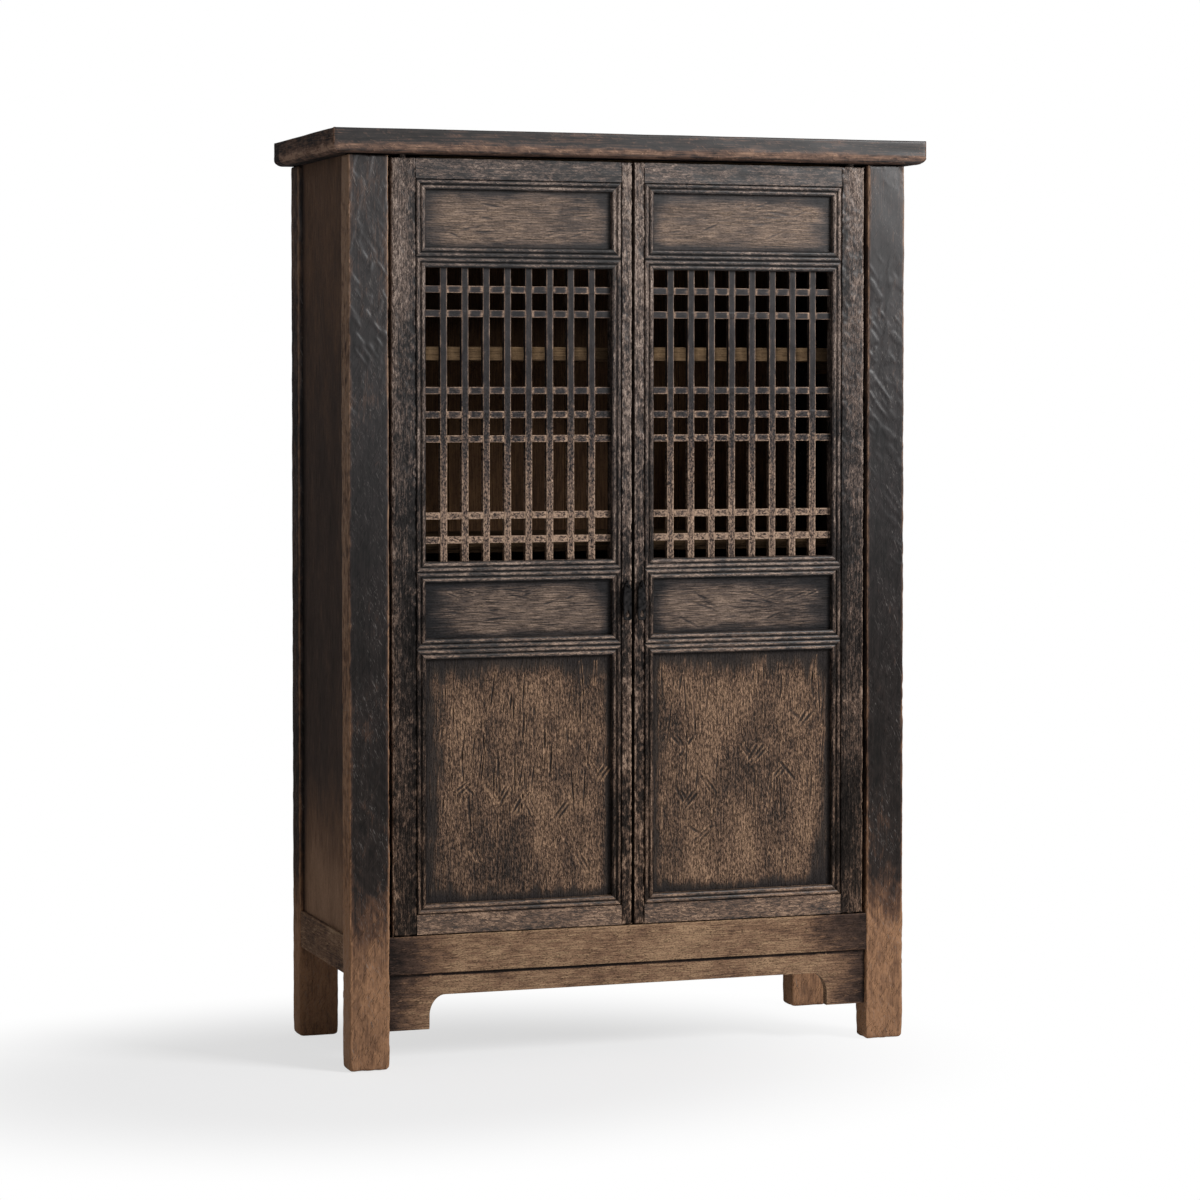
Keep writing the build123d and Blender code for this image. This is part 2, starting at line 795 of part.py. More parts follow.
def pull_tab():
    """The hanging tab: shouldered at its top, bevelled round its face, with a drop-shaped hole low down."""
    half, half_top = tab_width / 2, tab_top_width / 2
    shoulder = tab_top - tab_shoulder_drop
    with BuildPart() as made:
        with BuildSketch(Plane.XZ.offset(-tab_y[1])):
            with BuildLine():
                Polyline(
                    (pull_x - half_top, tab_top),
                    (pull_x + half_top, tab_top),
                    (pull_x + half, shoulder),
                    (pull_x + half, tab_foot + tab_corner_cut),
                    (pull_x + half - tab_corner_cut, tab_foot),
                    (pull_x - half + tab_corner_cut, tab_foot),
                    (pull_x - half, tab_foot + tab_corner_cut),
                    (pull_x - half, shoulder),
                    close=True,
                )
            make_face()
        extrude(amount=tab_thickness)
        chamfer(made.faces().sort_by(Axis.Y)[0].edges(), tab_bevel)
        drop_centre = (pull_x, tab_foot + drop_hole_lift + drop_hole_radius)
        drop_tip = (pull_x, tab_foot + drop_hole_lift + drop_hole_height)
        with BuildSketch(Plane.XZ.offset(-tab_y[1])):
            with Locations(drop_centre):
                Circle(drop_hole_radius)
            with BuildLine():
                Polyline(
                    (pull_x - drop_hole_radius, drop_centre[1]),
                    (pull_x + drop_hole_radius, drop_centre[1]),
                    drop_tip,
                    close=True,
                )
            make_face()
            with Locations((pull_x, tab_hole_z)):
                Circle(tab_hole_radius)
        extrude(amount=tab_thickness, mode=Mode.SUBTRACT)
    return made.part


os.makedirs("parts", exist_ok=True)

save_pair(
    post(front_post_y, [cross_tenon(front_rail_y), side_tenons["front"], apron_end_tongue, side_panel_box]),
    "front_post",
)
save_pair(
    post(back_post_y, [cross_tenon(back_rail_y), side_tenons["back"], side_panel_box, back_boards_box]),
    "back_post",
)
save(front_bottom_rail(), "front_bottom_rail")
save(back_bottom_rail(), "back_bottom_rail")
save_pair(side_bottom_rail(), "side_bottom_rail")
save(apron(), "front_apron")
save_pair(side_panel(), "side_panel")
save(back_boards(), "back_boards")
save(bottom_boards(), "bottom_boards")
for level, top in shelf_tops.items():
    save(shelf(top), f"{level}_shelf")
save_pair(shelf_cleats(), "shelf_cleats")

slab = top_slab()
save(long_member(slab, -1), "top_frame_front")
save(long_member(slab, 1), "top_frame_back")
save_pair(end_member(slab), "top_frame_end")
save(top_panel(), "top_panel")
save(top_braces(), "top_braces")
save(door_stop(), "door_stop")

save_pair(hinge_stile(), "door_hinge_stile")
save_pair(meeting_stile(), "door_meeting_stile")
for level, z_range in end_rails_z.items():
    save_pair(door_rail(z_range), f"door_{level}_rail")
for level, z_range in cross_rails_z.items():
    save_pair(door_rail(z_range), f"door_{level}_cross_rail")
for level in door_panels:
    save_pair(door_panel(level), f"door_{level}_panel")
save_pair(lattice_uprights(), "lattice_uprights")
save_pair(lattice_crossbars(), "lattice_crossbars")
save_pair(pull_pin(), "pull_pin")
save_pair(pull_tab(), "pull_tab")
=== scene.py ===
import math

import bpy
import numpy as np
from mathutils import Euler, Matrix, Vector


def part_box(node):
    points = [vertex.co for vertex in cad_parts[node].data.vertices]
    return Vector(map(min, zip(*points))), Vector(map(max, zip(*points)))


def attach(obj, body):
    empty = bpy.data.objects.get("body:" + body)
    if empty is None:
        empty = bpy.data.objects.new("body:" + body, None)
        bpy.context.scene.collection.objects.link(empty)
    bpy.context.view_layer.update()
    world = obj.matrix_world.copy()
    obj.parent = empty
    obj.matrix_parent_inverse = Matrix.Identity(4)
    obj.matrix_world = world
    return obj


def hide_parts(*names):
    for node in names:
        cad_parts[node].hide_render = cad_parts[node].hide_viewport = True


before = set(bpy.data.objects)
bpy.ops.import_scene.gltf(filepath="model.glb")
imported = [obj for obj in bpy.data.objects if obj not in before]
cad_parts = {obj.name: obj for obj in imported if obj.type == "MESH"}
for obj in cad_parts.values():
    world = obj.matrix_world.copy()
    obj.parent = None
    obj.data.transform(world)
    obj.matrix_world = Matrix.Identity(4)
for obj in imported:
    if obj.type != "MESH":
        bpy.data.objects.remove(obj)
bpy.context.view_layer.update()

# Posts: four square-shouldered hardwood legs that run from the floor to the top, adzed and then stained
# nearly black. Hands and brooms have rounded their arrises and rubbed the stain through at the feet.
SIDES = {"right": 1, "left": -1}  # and which way x runs from the cabinet's middle to each side
POST_RADIUS, FOOT_RADIUS = 0.0045, 0.009
lumps = np.random.default_rng(11).random((48, 48, 48))


def noise(points, size, seed=0):
    """Smooth noise from 0 to 1 at these points; size is the size of one lump along x, y and z."""
    at = points / np.array(size) + 7.31 * seed
    cell = np.floor(at).astype(int)
    part = at - cell
    part = part * part * (3 - 2 * part)
    total = 0
    for corner in np.ndindex(2, 2, 2):
        weight = np.prod(np.where(corner, part, 1 - part), axis=1)
        total = total + weight * lumps[tuple(((cell + corner) % len(lumps)).T)]
    return total


def ridges(points, width, length, slants, seed=0):
    """Short slanting ridges all over a surface: 1 on their crowns, 0 between them."""
    across = points[:, 0] + points[:, 1]
    crown = np.zeros(len(points))
    for slant in slants:
        cosine = math.cos(math.radians(slant))
        sine = math.sin(math.radians(slant))
        beside = across * cosine + points[:, 2] * sine
        upward = points[:, 2] * cosine - across * sine
        turned = np.stack([beside, np.zeros(len(points)), upward], axis=1)
        lumpy = noise(turned, (width, 1, length), seed=seed + slant / 90)
        crown = np.maximum(crown, np.clip((lumpy - 0.56) / 0.2, 0, 1))
    return crown


def marks(low, high, step, edge=0.005, at=()):
    """Grid lines from low to high, a step apart, closer together near both ends and with extra ones at."""
    near = edge * np.array([0, 0.1, 0.3, 0.6, 1])
    count = max(1, math.ceil((high - low - 2 * edge) / step))
    middle = np.linspace(low + edge, high - edge, count + 1)
    return np.unique(np.concatenate([low + near[:-1], middle, high - near[:-1], at]))


class Timber:
    """A closed, finely divided block of wood, with each point's rub and painted light, grime and painted
    shade.
    """

    def __init__(self, xs, ys, zs):
        lines = [np.asarray(line, float) for line in (xs, ys, zs)]
        size = [len(line) for line in lines]
        quads = []
        for axis in range(3):
            a, b = [i for i in range(3) if i != axis]
            for end in (0, size[axis] - 1):
                index = [None, None, None]
                index[a], index[b] = np.meshgrid(range(size[a]), range(size[b]), indexing="ij")
                index[axis] = np.full_like(index[a], end)
                key = (index[0] * size[1] + index[1]) * size[2] + index[2]
                quad = np.stack([key[:-1, :-1], key[1:, :-1], key[1:, 1:], key[:-1, 1:]], -1).reshape(-1, 4)
                quads.append(quad[:, ::-1] if (end == 0) == (axis != 1) else quad)
        keys, faces = np.unique(np.concatenate(quads), return_inverse=True)
        self.faces = faces.reshape(-1, 4)
        i, rest = np.divmod(keys, size[1] * size[2])
        j, k = np.divmod(rest, size[2])
        self.points = np.stack([lines[0][i], lines[1][j], lines[2][k]], axis=1)
        self.low = np.array([line[0] for line in lines])
        self.high = np.array([line[-1] for line in lines])
        self.home = self.points.copy()
        self.rub = np.zeros(len(self.points))
        self.grime = np.zeros(len(self.points))

    def from_edge(self, skip=None):
        """How far each point is from the nearest edge of the block, leaving out the ends along one axis."""
        room = np.minimum(self.home - self.low, self.high - self.home)
        if skip is not None:
            room = np.delete(room, skip, axis=1)
            return room.max(axis=1)
        return np.sort(room, axis=1)[:, 1]

    def round(self, radius, ends=None):
        """Round the edges over, leaving the ends along one axis square."""
        radius = np.broadcast_to(radius, len(self.points))[:, None] * np.ones(3)
        if ends is not None:
            squeeze = self.points[:, ends].copy()
            self.points[:, ends] = (self.low[ends] + self.high[ends]) / 2
        core = np.clip(self.points, self.low + radius, self.high - radius)
        out = self.points - core
        reach = np.linalg.norm(out, axis=1, keepdims=True)
        self.points = core + out * np.minimum(1, radius[:, :1] / np.maximum(reach, 1e-9))
        if ends is not None:
            self.points[:, ends] = squeeze
        return self

    def normals(self):
        """Outward direction at each point."""
        corner = self.points[self.faces]
        face = np.cross(corner[:, 2] - corner[:, 0], corner[:, 3] - corner[:, 1])
        total = np.zeros_like(self.points)
        for i in range(4):
            np.add.at(total, self.faces[:, i], face)
        return total / np.maximum(np.linalg.norm(total, axis=1, keepdims=True), 1e-12)

    def hollow(self, depth):
        """Sink the surface by this depth."""
        self.points = self.points - self.normals() * np.broadcast_to(depth, len(self.points))[:, None]
        return self

    def __add__(self, other):
        """Both pieces as one, for parts that are one stick of wood in the cabinet."""
        both = object.__new__(Timber)
        both.faces = np.concatenate([self.faces, other.faces + len(self.points)])
        for field in ("points", "home", "rub", "grime"):
            setattr(both, field, np.concatenate([getattr(self, field), getattr(other, field)]))
        return both

    def fit(self, name, body, finish, replaced, slot="dark_stained_wood"):
        """Make the Blender object, ride it on its body and let it stand for its node."""
        mesh = bpy.data.meshes.new(name)
        mesh.from_pydata(self.points, [], self.faces)
        facing = self.normals()  # hands polish what faces the front, and a little of what faces up
        self.polish = np.clip(-facing[:, 1] * 3 - 1.2, 0, 1) + 0.3 * np.clip(facing[:, 2] * 3 - 1.5, 0, 1)
        for field in ("rub", "grime", "polish"):
            layer = mesh.attributes.new(field, "FLOAT", "POINT")
            layer.data.foreach_set("value", getattr(self, field).astype(np.float32))
        mesh.materials.append(finish)
        made = bpy.data.objects.new(name, mesh)
        bpy.context.scene.collection.objects.link(made)
        mesh.shade_smooth()
        mesh.set_sharp_from_angle(angle=math.radians(50))
        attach(made, body)
        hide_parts(replaced)
        return made


def shade(red, green, blue):
    """A colour written in 0 to 255 steps, as the shader takes it."""
    steps = [v / 255 for v in (red, green, blue)]
    return [v / 12.92 if v <= 0.04045 else ((v + 0.055) / 1.055) ** 2.4 for v in steps] + [1]


class Socket:
    """A socket in a node tree: sums and products of sockets add Math nodes to the tree."""

    def __init__(self, nodes, output):
        self.nodes = nodes
        self.output = output

    def math(self, operation, *others):
        inputs = dict(enumerate((self, *others)))
        return self.nodes.node("ShaderNodeMath", {"operation": operation}, inputs)

    def __add__(self, other):
        return self.math("ADD", other)

    def __sub__(self, other):
        return self.math("SUBTRACT", other)

    def __mul__(self, other):
        return self.math("MULTIPLY", other)

    def __rsub__(self, other):
        return (self * -1) + other

    __radd__ = __add__
    __rmul__ = __mul__

    def rise(self, low, high):
        """0 below low, 1 above high, and smooth between; the other way round when low is above high."""
        inputs = {"Value": self, "From Min": low, "From Max": high}
        return self.nodes.node("ShaderNodeMapRange", {"interpolation_type": "SMOOTHSTEP"}, inputs)


class Nodes:
    """A node tree, of a material or of the world."""

    def __init__(self, tree):
        self.tree = tree

    def node(self, kind, settings=None, inputs=None, output=0):
        """Add a node: its settings first, then its sockets' values or links. Gives one of its outputs."""
        made = self.tree.nodes.new(kind)
        for setting, value in (settings or {}).items():
            if setting == "stops":
                ramp = made.color_ramp
                while len(ramp.elements) < len(value):
                    ramp.elements.new(0)
                for stop, (place, colour) in zip(ramp.elements, value):
                    stop.position = place
                    stop.color = colour
            else:
                setattr(made, setting, value)
        for socket, value in (inputs or {}).items():
            if isinstance(value, Socket):
                self.tree.links.new(value.output, made.inputs[socket])
            else:
                made.inputs[socket].default_value = value
        return Socket(self, made.outputs[output])


class Finish(Nodes):
    """A procedural finish: a material, and a method for each thing that goes into it."""

    def __init__(self, name, **constants):
        self.material = bpy.data.materials.new(name)
        self.material.use_nodes = True
        super().__init__(self.material.node_tree)
        self.shader = self.tree.nodes["Principled BSDF"]
        for socket, value in constants.items():
            self.shader.inputs[socket.replace("_", " ")].default_value = value

    def grain(self, size, turn=(0, 0, 0), detail=2.0, distortion=0.0):
        """Noise with lumps of this size in metres along x, y and z, turned if need be."""
        place = self.node("ShaderNodeTexCoord", output="Object")
        inputs = {"Vector": place, "Rotation": [math.radians(a) for a in turn], "Scale": size}
        turned = self.node("ShaderNodeMapping", {"vector_type": "TEXTURE"}, inputs)
        inputs = {"Vector": turned, "Scale": 1.0, "Detail": detail, "Distortion": distortion}
        return self.node("ShaderNodeTexNoise", {"noise_dimensions": "3D"}, inputs)

    def worn(self, field):
        """One of the values that the mesh carries: rub and painted light, grime and painted shade, or
        polish.
        """
        return self.node("ShaderNodeAttribute", {"attribute_name": field}, output="Fac")

    def height(self):
        """How far above the floor, in metres."""
        place = self.node("ShaderNodeTexCoord", output="Object")
        return self.node("ShaderNodeSeparateXYZ", inputs={0: place}, output="Z")

    def mix(self, factor, first, second, blend="MIX"):
        """The first colour where the factor is 0, blended with the second where it is 1."""
        settings = {"data_type": "RGBA", "blend_type": blend}
        return self.node("ShaderNodeMix", settings, {0: factor, 6: first, 7: second}, output=2)

    def colours(self, value, stops):
        """Turn a value into colour, by (place, colour) stops."""
        return self.node("ShaderNodeValToRGB", {"stops": stops}, {0: value})

    def join(self, socket, value):
        self.tree.links.new(value.output, self.shader.inputs[socket])

    def surface(self, colour, roughness, relief, depth):
        """Join the colour, the roughness and a relief of this depth in metres to the shader."""
        bump = self.node("ShaderNodeBump", inputs={"Height": relief, "Distance": depth, "Strength": 1.0})
        for socket, value in (("Base Color", colour), ("Roughness", roughness), ("Normal", bump)):
            self.join(socket, value)
        return self.material


def along(axis, across, length):
    """The size of a lump that is stretched along one axis."""
    return [length if i == axis else across for i in range(3)]


# Heights in metres: how far a foot's wear fades out, and between which heights the old polish has kept.
FOOT_FADE = 0.30
POLISH_FROM, POLISH_TOP = 0.7, 1.75


def stained_wood(
    name, axis, tones, wear=0.3, patch=0.3, blotch=0.25, streak=0.4, grit=0.4, edge=0.4, soil=0.7,
    crackle=(0, 0.003, 0.006), foot=(0, 0.3), bloom=(0, 1), flecks=((0.0022, 0.006, 0.014), 35, 0.2),
    relief=0.0005, gloss=0.6, low_gloss=0.2, warmth=0, painted_glints=0,
):
    """Black stain over brown wood, rubbed through to tan.

    axis is the grain's, and tones run from the darkest stain to bare wood. wear lightens it all over. patch,
    blotch, streak and grit vary it, from hand-wide clouds down to pores. edge shows what is rubbed, together
    with some painted light, and soil what is grimy, together with some painted shade. crackle is how far
    crazing shows, its width and its length. foot and bloom are how much lighter the wood gets low down and
    high up, and from which height; the lightening high up is painted sheen. flecks are a size, a slant and a
    strength. relief is in metres. gloss and low_gloss are the polish high up and near the floor. warmth is
    how much browner the wood gets near the floor, and scuffs how far painted glints show, as light grey
    scratches.
    """
    finish = Finish(name, Specular_IOR_Level=0.02, Coat_IOR=1.42, Coat_Roughness=0.36)
    fibre = finish.grain(along(axis, 0.0024, 0.045), detail=3)
    speck = finish.grain(along(axis, 0.0020, 0.0045), detail=2)
    cloud = finish.grain(along(axis, 0.07, 0.15), detail=2)
    mottle = finish.grain(along(axis, 0.011, 0.025), detail=3, distortion=0.5)
    fleck_size, slant, fleck_gain = flecks
    turn = (slant, 0, 0) if axis == 1 else (0, slant, 0)
    fleck = finish.grain(fleck_size, turn=turn, detail=1, distortion=0.6).rise(0.56, 0.68)
    rub, grime = finish.worn("rub"), finish.worn("grime")
    # How far the stain has worn away, with some painted sheen, light and shade: near 0 it is whole, and near
    # 1 the wood is bare.
    value = (fibre - 0.5) * (streak * 1.8) + (cloud - 0.5) * (patch * 2) + (mottle - 0.5) * (blotch * 2)
    value = value + wear
    value = value + rub * edge * (mottle * 1.3 + 0.35) + fleck * fleck_gain - grime * soil * (fibre + 0.5)
    foot_gain, foot_from = foot
    sheen_gain, sheen_from = bloom
    if foot_gain:
        value = value + finish.height().rise(foot_from, max(0.05, foot_from - FOOT_FADE)) * foot_gain
    # Painted sheen: the wood is lighter high up.
    if sheen_gain:
        value = value + finish.height().rise(sheen_from, POLISH_TOP) * sheen_gain
    # Pores and crazing are dark, and lie a little deeper than the fibres.
    pit = speck.rise(0.49, 0.36) * grit
    height = fibre * streak + speck * (0.8 * grit) + mottle * 0.6 + fleck * 0.6
    crackle_gain, crackle_width, crackle_length = crackle
    if crackle_gain:
        veins = finish.grain(along(axis, crackle_width, crackle_length), detail=2, distortion=0.6)
        crazed = grime.rise(0.7, 0.15) * crackle_gain
        value = value + (veins.rise(0.38, 0.62) - 0.5) * crazed * 0.4
        pit = pit.math("MAXIMUM", veins.rise(0.45, 0.35) * crazed)
        height = height + veins.rise(0.35, 0.6) * crazed
    stops = list(zip((0.0, 0.33, 0.62, 0.95), tones))
    colour = finish.mix(pit, finish.colours(value, stops), shade(20, 16, 14))
    if warmth:
        warmed = finish.height().rise(1.3, 0.3) * warmth
        colour = finish.mix(warmed, colour, shade(255, 238, 220), "MULTIPLY")
    # Painted glints: light grey streaks that stand for highlights on ridges.
    if painted_glints:
        glint_streaks = finish.grain((0.0024, 0.006, 0.022), turn=(0, -20, 0), detail=2, distortion=1.8)
        glint_share = glint_streaks.rise(0.60, 0.72) * (painted_glints * cloud.rise(0.35, 0.6))
        colour = finish.mix(glint_share, colour, shade(124, 118, 114))
    kept = finish.height().rise(POLISH_FROM, POLISH_TOP) * (1 - low_gloss) + low_gloss
    finish.join("Coat Weight", finish.worn("polish") * (1 - value.rise(0.4, 1.1)) * kept * gloss)
    return finish.surface(colour, 0.85 - value * 0.2, height, relief)


charcoal = shade(18, 17, 17)
post_tones = [charcoal, shade(40, 36, 36), shade(90, 71, 61), shade(150, 121, 99)]
# The posts are painted lighter high up and streaked light grey, as painted sheen and painted glints.
post_wood = stained_wood(
    "stained_post_wood", 2, post_tones, wear=0.17, patch=0.28, blotch=0.2, streak=0.32, grit=0.2, edge=0.7,
    foot=(0.66, 0.44), bloom=(0.14, 1.1), flecks=((0.0055, 0.006, 0.026), 28, 0.06), relief=0.0026,
    gloss=0.86, low_gloss=0.28, warmth=0.9, painted_glints=0.6,
)
POST_TOP = 1.782
POST_STEP = {"front": 0.0026, "back": 0.006}  # the front posts are divided finely enough to show tool marks
# How far the stain is rubbed off the posts' side faces; on the left front post it is partly painted light,
# on faces that the lamp leaves in shade.
FLANK_RUB_AND_LIGHT = {"left_front_post": 0.95, "right_front_post": 0.4}
for side in SIDES:
    for row, step in POST_STEP.items():
        node = f"{side}_{row}_post"
        low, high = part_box(node)
        xs = marks(low.x, high.x, step=step)
        zs = marks(low.z, POST_TOP, step=step, edge=FOOT_RADIUS)
        post = Timber(xs, marks(low.y, high.y, step=0.005), zs)
        near_floor = np.clip(1 - post.points[:, 2] / 0.03, 0, 1)
        ragged = noise(post.points, (0.02, 0.02, 0.018), seed=3)
        wrinkles = ridges(post.points, width=0.0068, length=0.030, slants=(36, -12), seed=1)
        low_down = np.clip(1.3 - post.points[:, 2], 0, 1)
        post.rub = np.clip(1 - post.from_edge(2) / 0.009, 0, 1) ** 1.5 + 0.16 * wrinkles * low_down
        flank = np.abs(post.normals()[:, 0]) > 0.9
        post.rub = np.maximum(post.rub, FLANK_RUB_AND_LIGHT.get(node, 0.25) * flank)
        post.round(POST_RADIUS * (0.65 + 0.7 * ragged) + (FOOT_RADIUS - POST_RADIUS) * near_floor)
        patchy = np.clip(2.4 * noise(post.points, (0.07, 0.07, 0.16), seed=31) - 0.5, 0, 1)
        adzed = 0.0010 * noise(post.points, (0.026, 0.026, 0.05)) + 0.0011 * patchy * (1 - wrinkles)
        post.hollow(adzed if row == "front" else adzed / 3)
        post.fit(f"{node}_worn", "carcass", post_wood, node)

# Bottom rails: one on each side between the posts, of the same wood, tenoned into them a little behind their
# faces. Feet and brooms have rubbed the stain off them, and the front one has kept it near the posts.
RAIL_RADIUS = 0.003
SHOULDERS = (0.504, 0.188)  # from the middle to where the rails meet the posts, along x and along y
rail_tones = [shade(34, 28, 26), shade(74, 58, 50), shade(124, 96, 76), shade(164, 134, 106)]
rail_woods = {}
for axis in (0, 1):
    rail_woods[axis] = stained_wood(
        f"stained_rail_wood_{'xyz'[axis]}", axis, rail_tones, wear=0.72, patch=0.35, blotch=0.3, streak=0.55,
        grit=0.5, edge=0.3, soil=0.6, flecks=((0.0030, 0.006, 0.022), 84, 0.18), relief=0.003, gloss=0.5,
    )
bottom_rails = {
    "front_bottom_rail": 0, "back_bottom_rail": 0, "right_side_bottom_rail": 1, "left_side_bottom_rail": 1,
}
for node, axis in bottom_rails.items():
    low, high = np.array(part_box(node))
    low[axis] = max(low[axis], -SHOULDERS[axis])
    high[axis] = min(high[axis], SHOULDERS[axis])
    rail = Timber(*[marks(low[i], high[i], step=0.006) for i in range(3)])
    rail.rub = np.clip(1 - rail.from_edge(axis) / 0.004, 0, 1)
    from_end = high[axis] - np.abs(rail.points[:, axis])
    rail.grime = 1.1 * np.clip(1 - from_end / 0.15, 0, 1) if axis == 0 else np.full(len(rail.points), 0.36)
    rail.round(RAIL_RADIUS, ends=axis)
    rail.hollow(0.0006 * noise(rail.points, along(axis, 0.012, 0.09), seed=5))
    rail.fit(f"{node}_worn", "carcass", rail_woods[axis], node)

# Apron: a thin board of the same wood, let into the posts under the front rail. It is sawn to a cove and a
# step at each end, where it comes down beside the posts.
APRON_TOP, APRON_SHADE_FROM, APRON_EDGE = 0.186, 0.180, 0.141
SPANDREL_STEP, SPANDREL_FOOT = 0.098, 0.074
STEP_X, COVE_END = 0.420, 0.388
HAIR = 0.0001  # grid lines this near to each other make a square step
low, high = np.array(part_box("front_apron"))
low[0] = -SHOULDERS[0]
high[0] = SHOULDERS[0]
high[2] = APRON_TOP
cove = [COVE_END + (STEP_X - COVE_END) * math.sin(t * math.pi / 20) for t in range(10)]
sawn = [way * x for way in (-1, 1) for x in (*cove, STEP_X - HAIR, STEP_X + HAIR)]
apron = Timber(
    marks(low[0], high[0], step=0.006, at=sawn),
    marks(low[1], high[1], step=0.006, edge=0.003),
    marks(low[2], high[2], step=0.005),
)
apron.rub = np.clip(1 - apron.from_edge(0) / 0.004, 0, 1)
apron.round(0.0022, ends=0)
x = np.abs(apron.points[:, 0])
in_cove = np.clip((x - COVE_END) / (STEP_X - COVE_END), 0, 1)
edge = APRON_EDGE - (APRON_EDGE - SPANDREL_STEP) * (1 - np.sqrt(1 - in_cove**2))
edge = np.where(x > STEP_X, SPANDREL_FOOT, edge)
apron.points[:, 2] = high[2] - (high[2] - apron.points[:, 2]) * (high[2] - edge) / (high[2] - low[2])
by_post = np.clip((x - STEP_X) / 0.08, 0, 1)
# Darker towards the posts, and a painted shadow along the top, under the front rail.
apron.grime = np.clip(by_post + 1.2 * (apron.points[:, 2] > APRON_SHADE_FROM), 0, 1.2)
apron.hollow(0.0005 * noise(apron.points, (0.09, 0.012, 0.012), seed=6))
apron.fit("front_apron_worn", "carcass", rail_woods[0], "front_apron")

# Side panels: one wide stained board each, with upright grain, held without glue in grooves in the posts,
# the side rail and the top. Each is darker along the posts.
SIDE_FRONT, SIDE_BACK = -0.158, 0.186
pores = ((0.001, 0.006, 0.02), 0, 0)
side_tones = [shade(34, 30, 28), shade(62, 51, 46), shade(96, 73, 58), shade(140, 109, 86)]
# The side wood is painted lighter high up, as sheen.
side_wood = stained_wood(
    "stained_side_wood", 2, side_tones, wear=0.30, patch=0.2, blotch=0.1, streak=0.45, grit=0.25, edge=0.2,
    soil=0.35, foot=(0.6, 0.60), bloom=(0.28, 1.1), flecks=pores, gloss=0.0,
)
for side in SIDES:
    node = f"{side}_side_panel"
    low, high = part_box(node)
    across = marks(low.x, high.x, step=0.006, edge=0.002)
    panel = Timber(across, marks(low.y, high.y, step=0.008), marks(low.z, high.z, step=0.010))
    room = np.minimum(panel.points[:, 1] - SIDE_FRONT, SIDE_BACK - panel.points[:, 1])
    panel.grime = np.clip(1 - room / 0.03, 0, 1)
    panel.hollow(0.0009 * noise(panel.points, (0.02, 0.035, 0.25), seed=8))
    panel.fit(f"{node}_worn", "carcass", side_wood, node)

# Back boards: eight upright planks of unstained wood, tongued edge to edge and held in grooves in the back
# posts. Each has darkened a little differently.
BACK_BOARDS, HALF_GAP = 8, 0.0004
plank_tones = [shade(50, 38, 30), shade(84, 62, 46), shade(112, 84, 60), shade(140, 108, 78)]
plank_wood = stained_wood(
    "plain_plank_wood", 2, plank_tones, wear=0.5, patch=0.2, blotch=0.1, streak=0.5, grit=0.25, flecks=pores,
    gloss=0.1,
)
low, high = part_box("back_boards")
width = (high.x - low.x) / BACK_BOARDS
planks = None
for n in range(BACK_BOARDS):
    plank = Timber(
        marks(low.x + n * width + HALF_GAP, low.x + (n + 1) * width - HALF_GAP, step=0.016, edge=0.003),
        marks(low.y, high.y, step=0.006, edge=0.002),
        marks(low.z, high.z, step=0.016),
    )
    plank.rub = np.clip(1 - plank.from_edge(2) / 0.004, 0, 1)
    plank.round(0.0012 + 0.001 * noise(plank.points, (1, 1, 0.03), seed=n), ends=2)
    plank.hollow(0.0008 * noise(plank.points, (0.03, 0.03, 0.3), seed=n))
    plank.grime = np.full(len(plank.points), 0.25 * ((n * 5) % BACK_BOARDS) / BACK_BOARDS)
    planks = plank if planks is None else planks + plank
planks.fit("back_boards_worn", "carcass", plank_wood, "back_boards", "plain_inner_wood")

# Shelves, bottom boards, cleats, braces and the door stop: plain wood that the doors hide, planed flat. The
# shelves rest on cleats along both sides, and their front edges show behind the lattices.
inner_tones = [shade(42, 34, 27), shade(78, 62, 47), shade(118, 96, 72), shade(148, 122, 92)]
# The plain wood is painted lighter high up: light on the upper shelf, and shade on the shelves below it.
inner_woods = {}
for axis in (0, 1):
    inner_woods[axis] = stained_wood(
        f"plain_inner_wood_{'xyz'[axis]}", axis, inner_tones, wear=0.30, patch=0.15, blotch=0.1, streak=0.5,
        grit=0.25, bloom=(0.45, 1.03), flecks=pores, gloss=0.2,
    )
inner_nodes = {
    0: ("lower_shelf", "middle_shelf", "upper_shelf", "bottom_boards", "door_stop", "top_braces"),
    1: ("right_shelf_cleats", "left_shelf_cleats"),
}


def cover(node, finish):
    """Put a finish on a piece that keeps its own plain faces."""
    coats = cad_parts[node].data.materials
    coats.clear()
    coats.append(finish)


for axis, names in inner_nodes.items():
    for node in names:
        cover(node, inner_woods[axis])

# Top: a mitred frame round a flush panel. Its front and ends are rounded underneath; the stain is rubbed
# away along that rounded edge, and cloths have smoothed the corners.
TOP_UNDER_RADIUS, TOP_CORNER_RADIUS, TOP_RIM_RADIUS = 0.018, 0.005, 0.0035
FRAME_WIDTH = 0.100
REACHED = 0.2  # hands and cloths have rubbed the top's edges from the front to here
top_tones = [charcoal, shade(42, 38, 37), shade(102, 80, 69), shade(158, 128, 108)]
top_woods = {}
for axis in (0, 1):
    top_woods[axis] = stained_wood(
        f"stained_top_wood_{'xyz'[axis]}", axis, top_tones, wear=0.32, patch=0.2, blotch=0.2, streak=0.45,
        grit=0.2, edge=0.42, flecks=((0.012, 0.006, 0.005), 20, 0.12), relief=0.0015, gloss=0.75,
    )
half = np.array([0.620, 0.244])  # half the top's width and depth
members = {
    "top_frame_front": (0, -1), "top_frame_back": (0, 1),
    "right_top_frame_end": (1, 1), "left_top_frame_end": (1, -1),
}
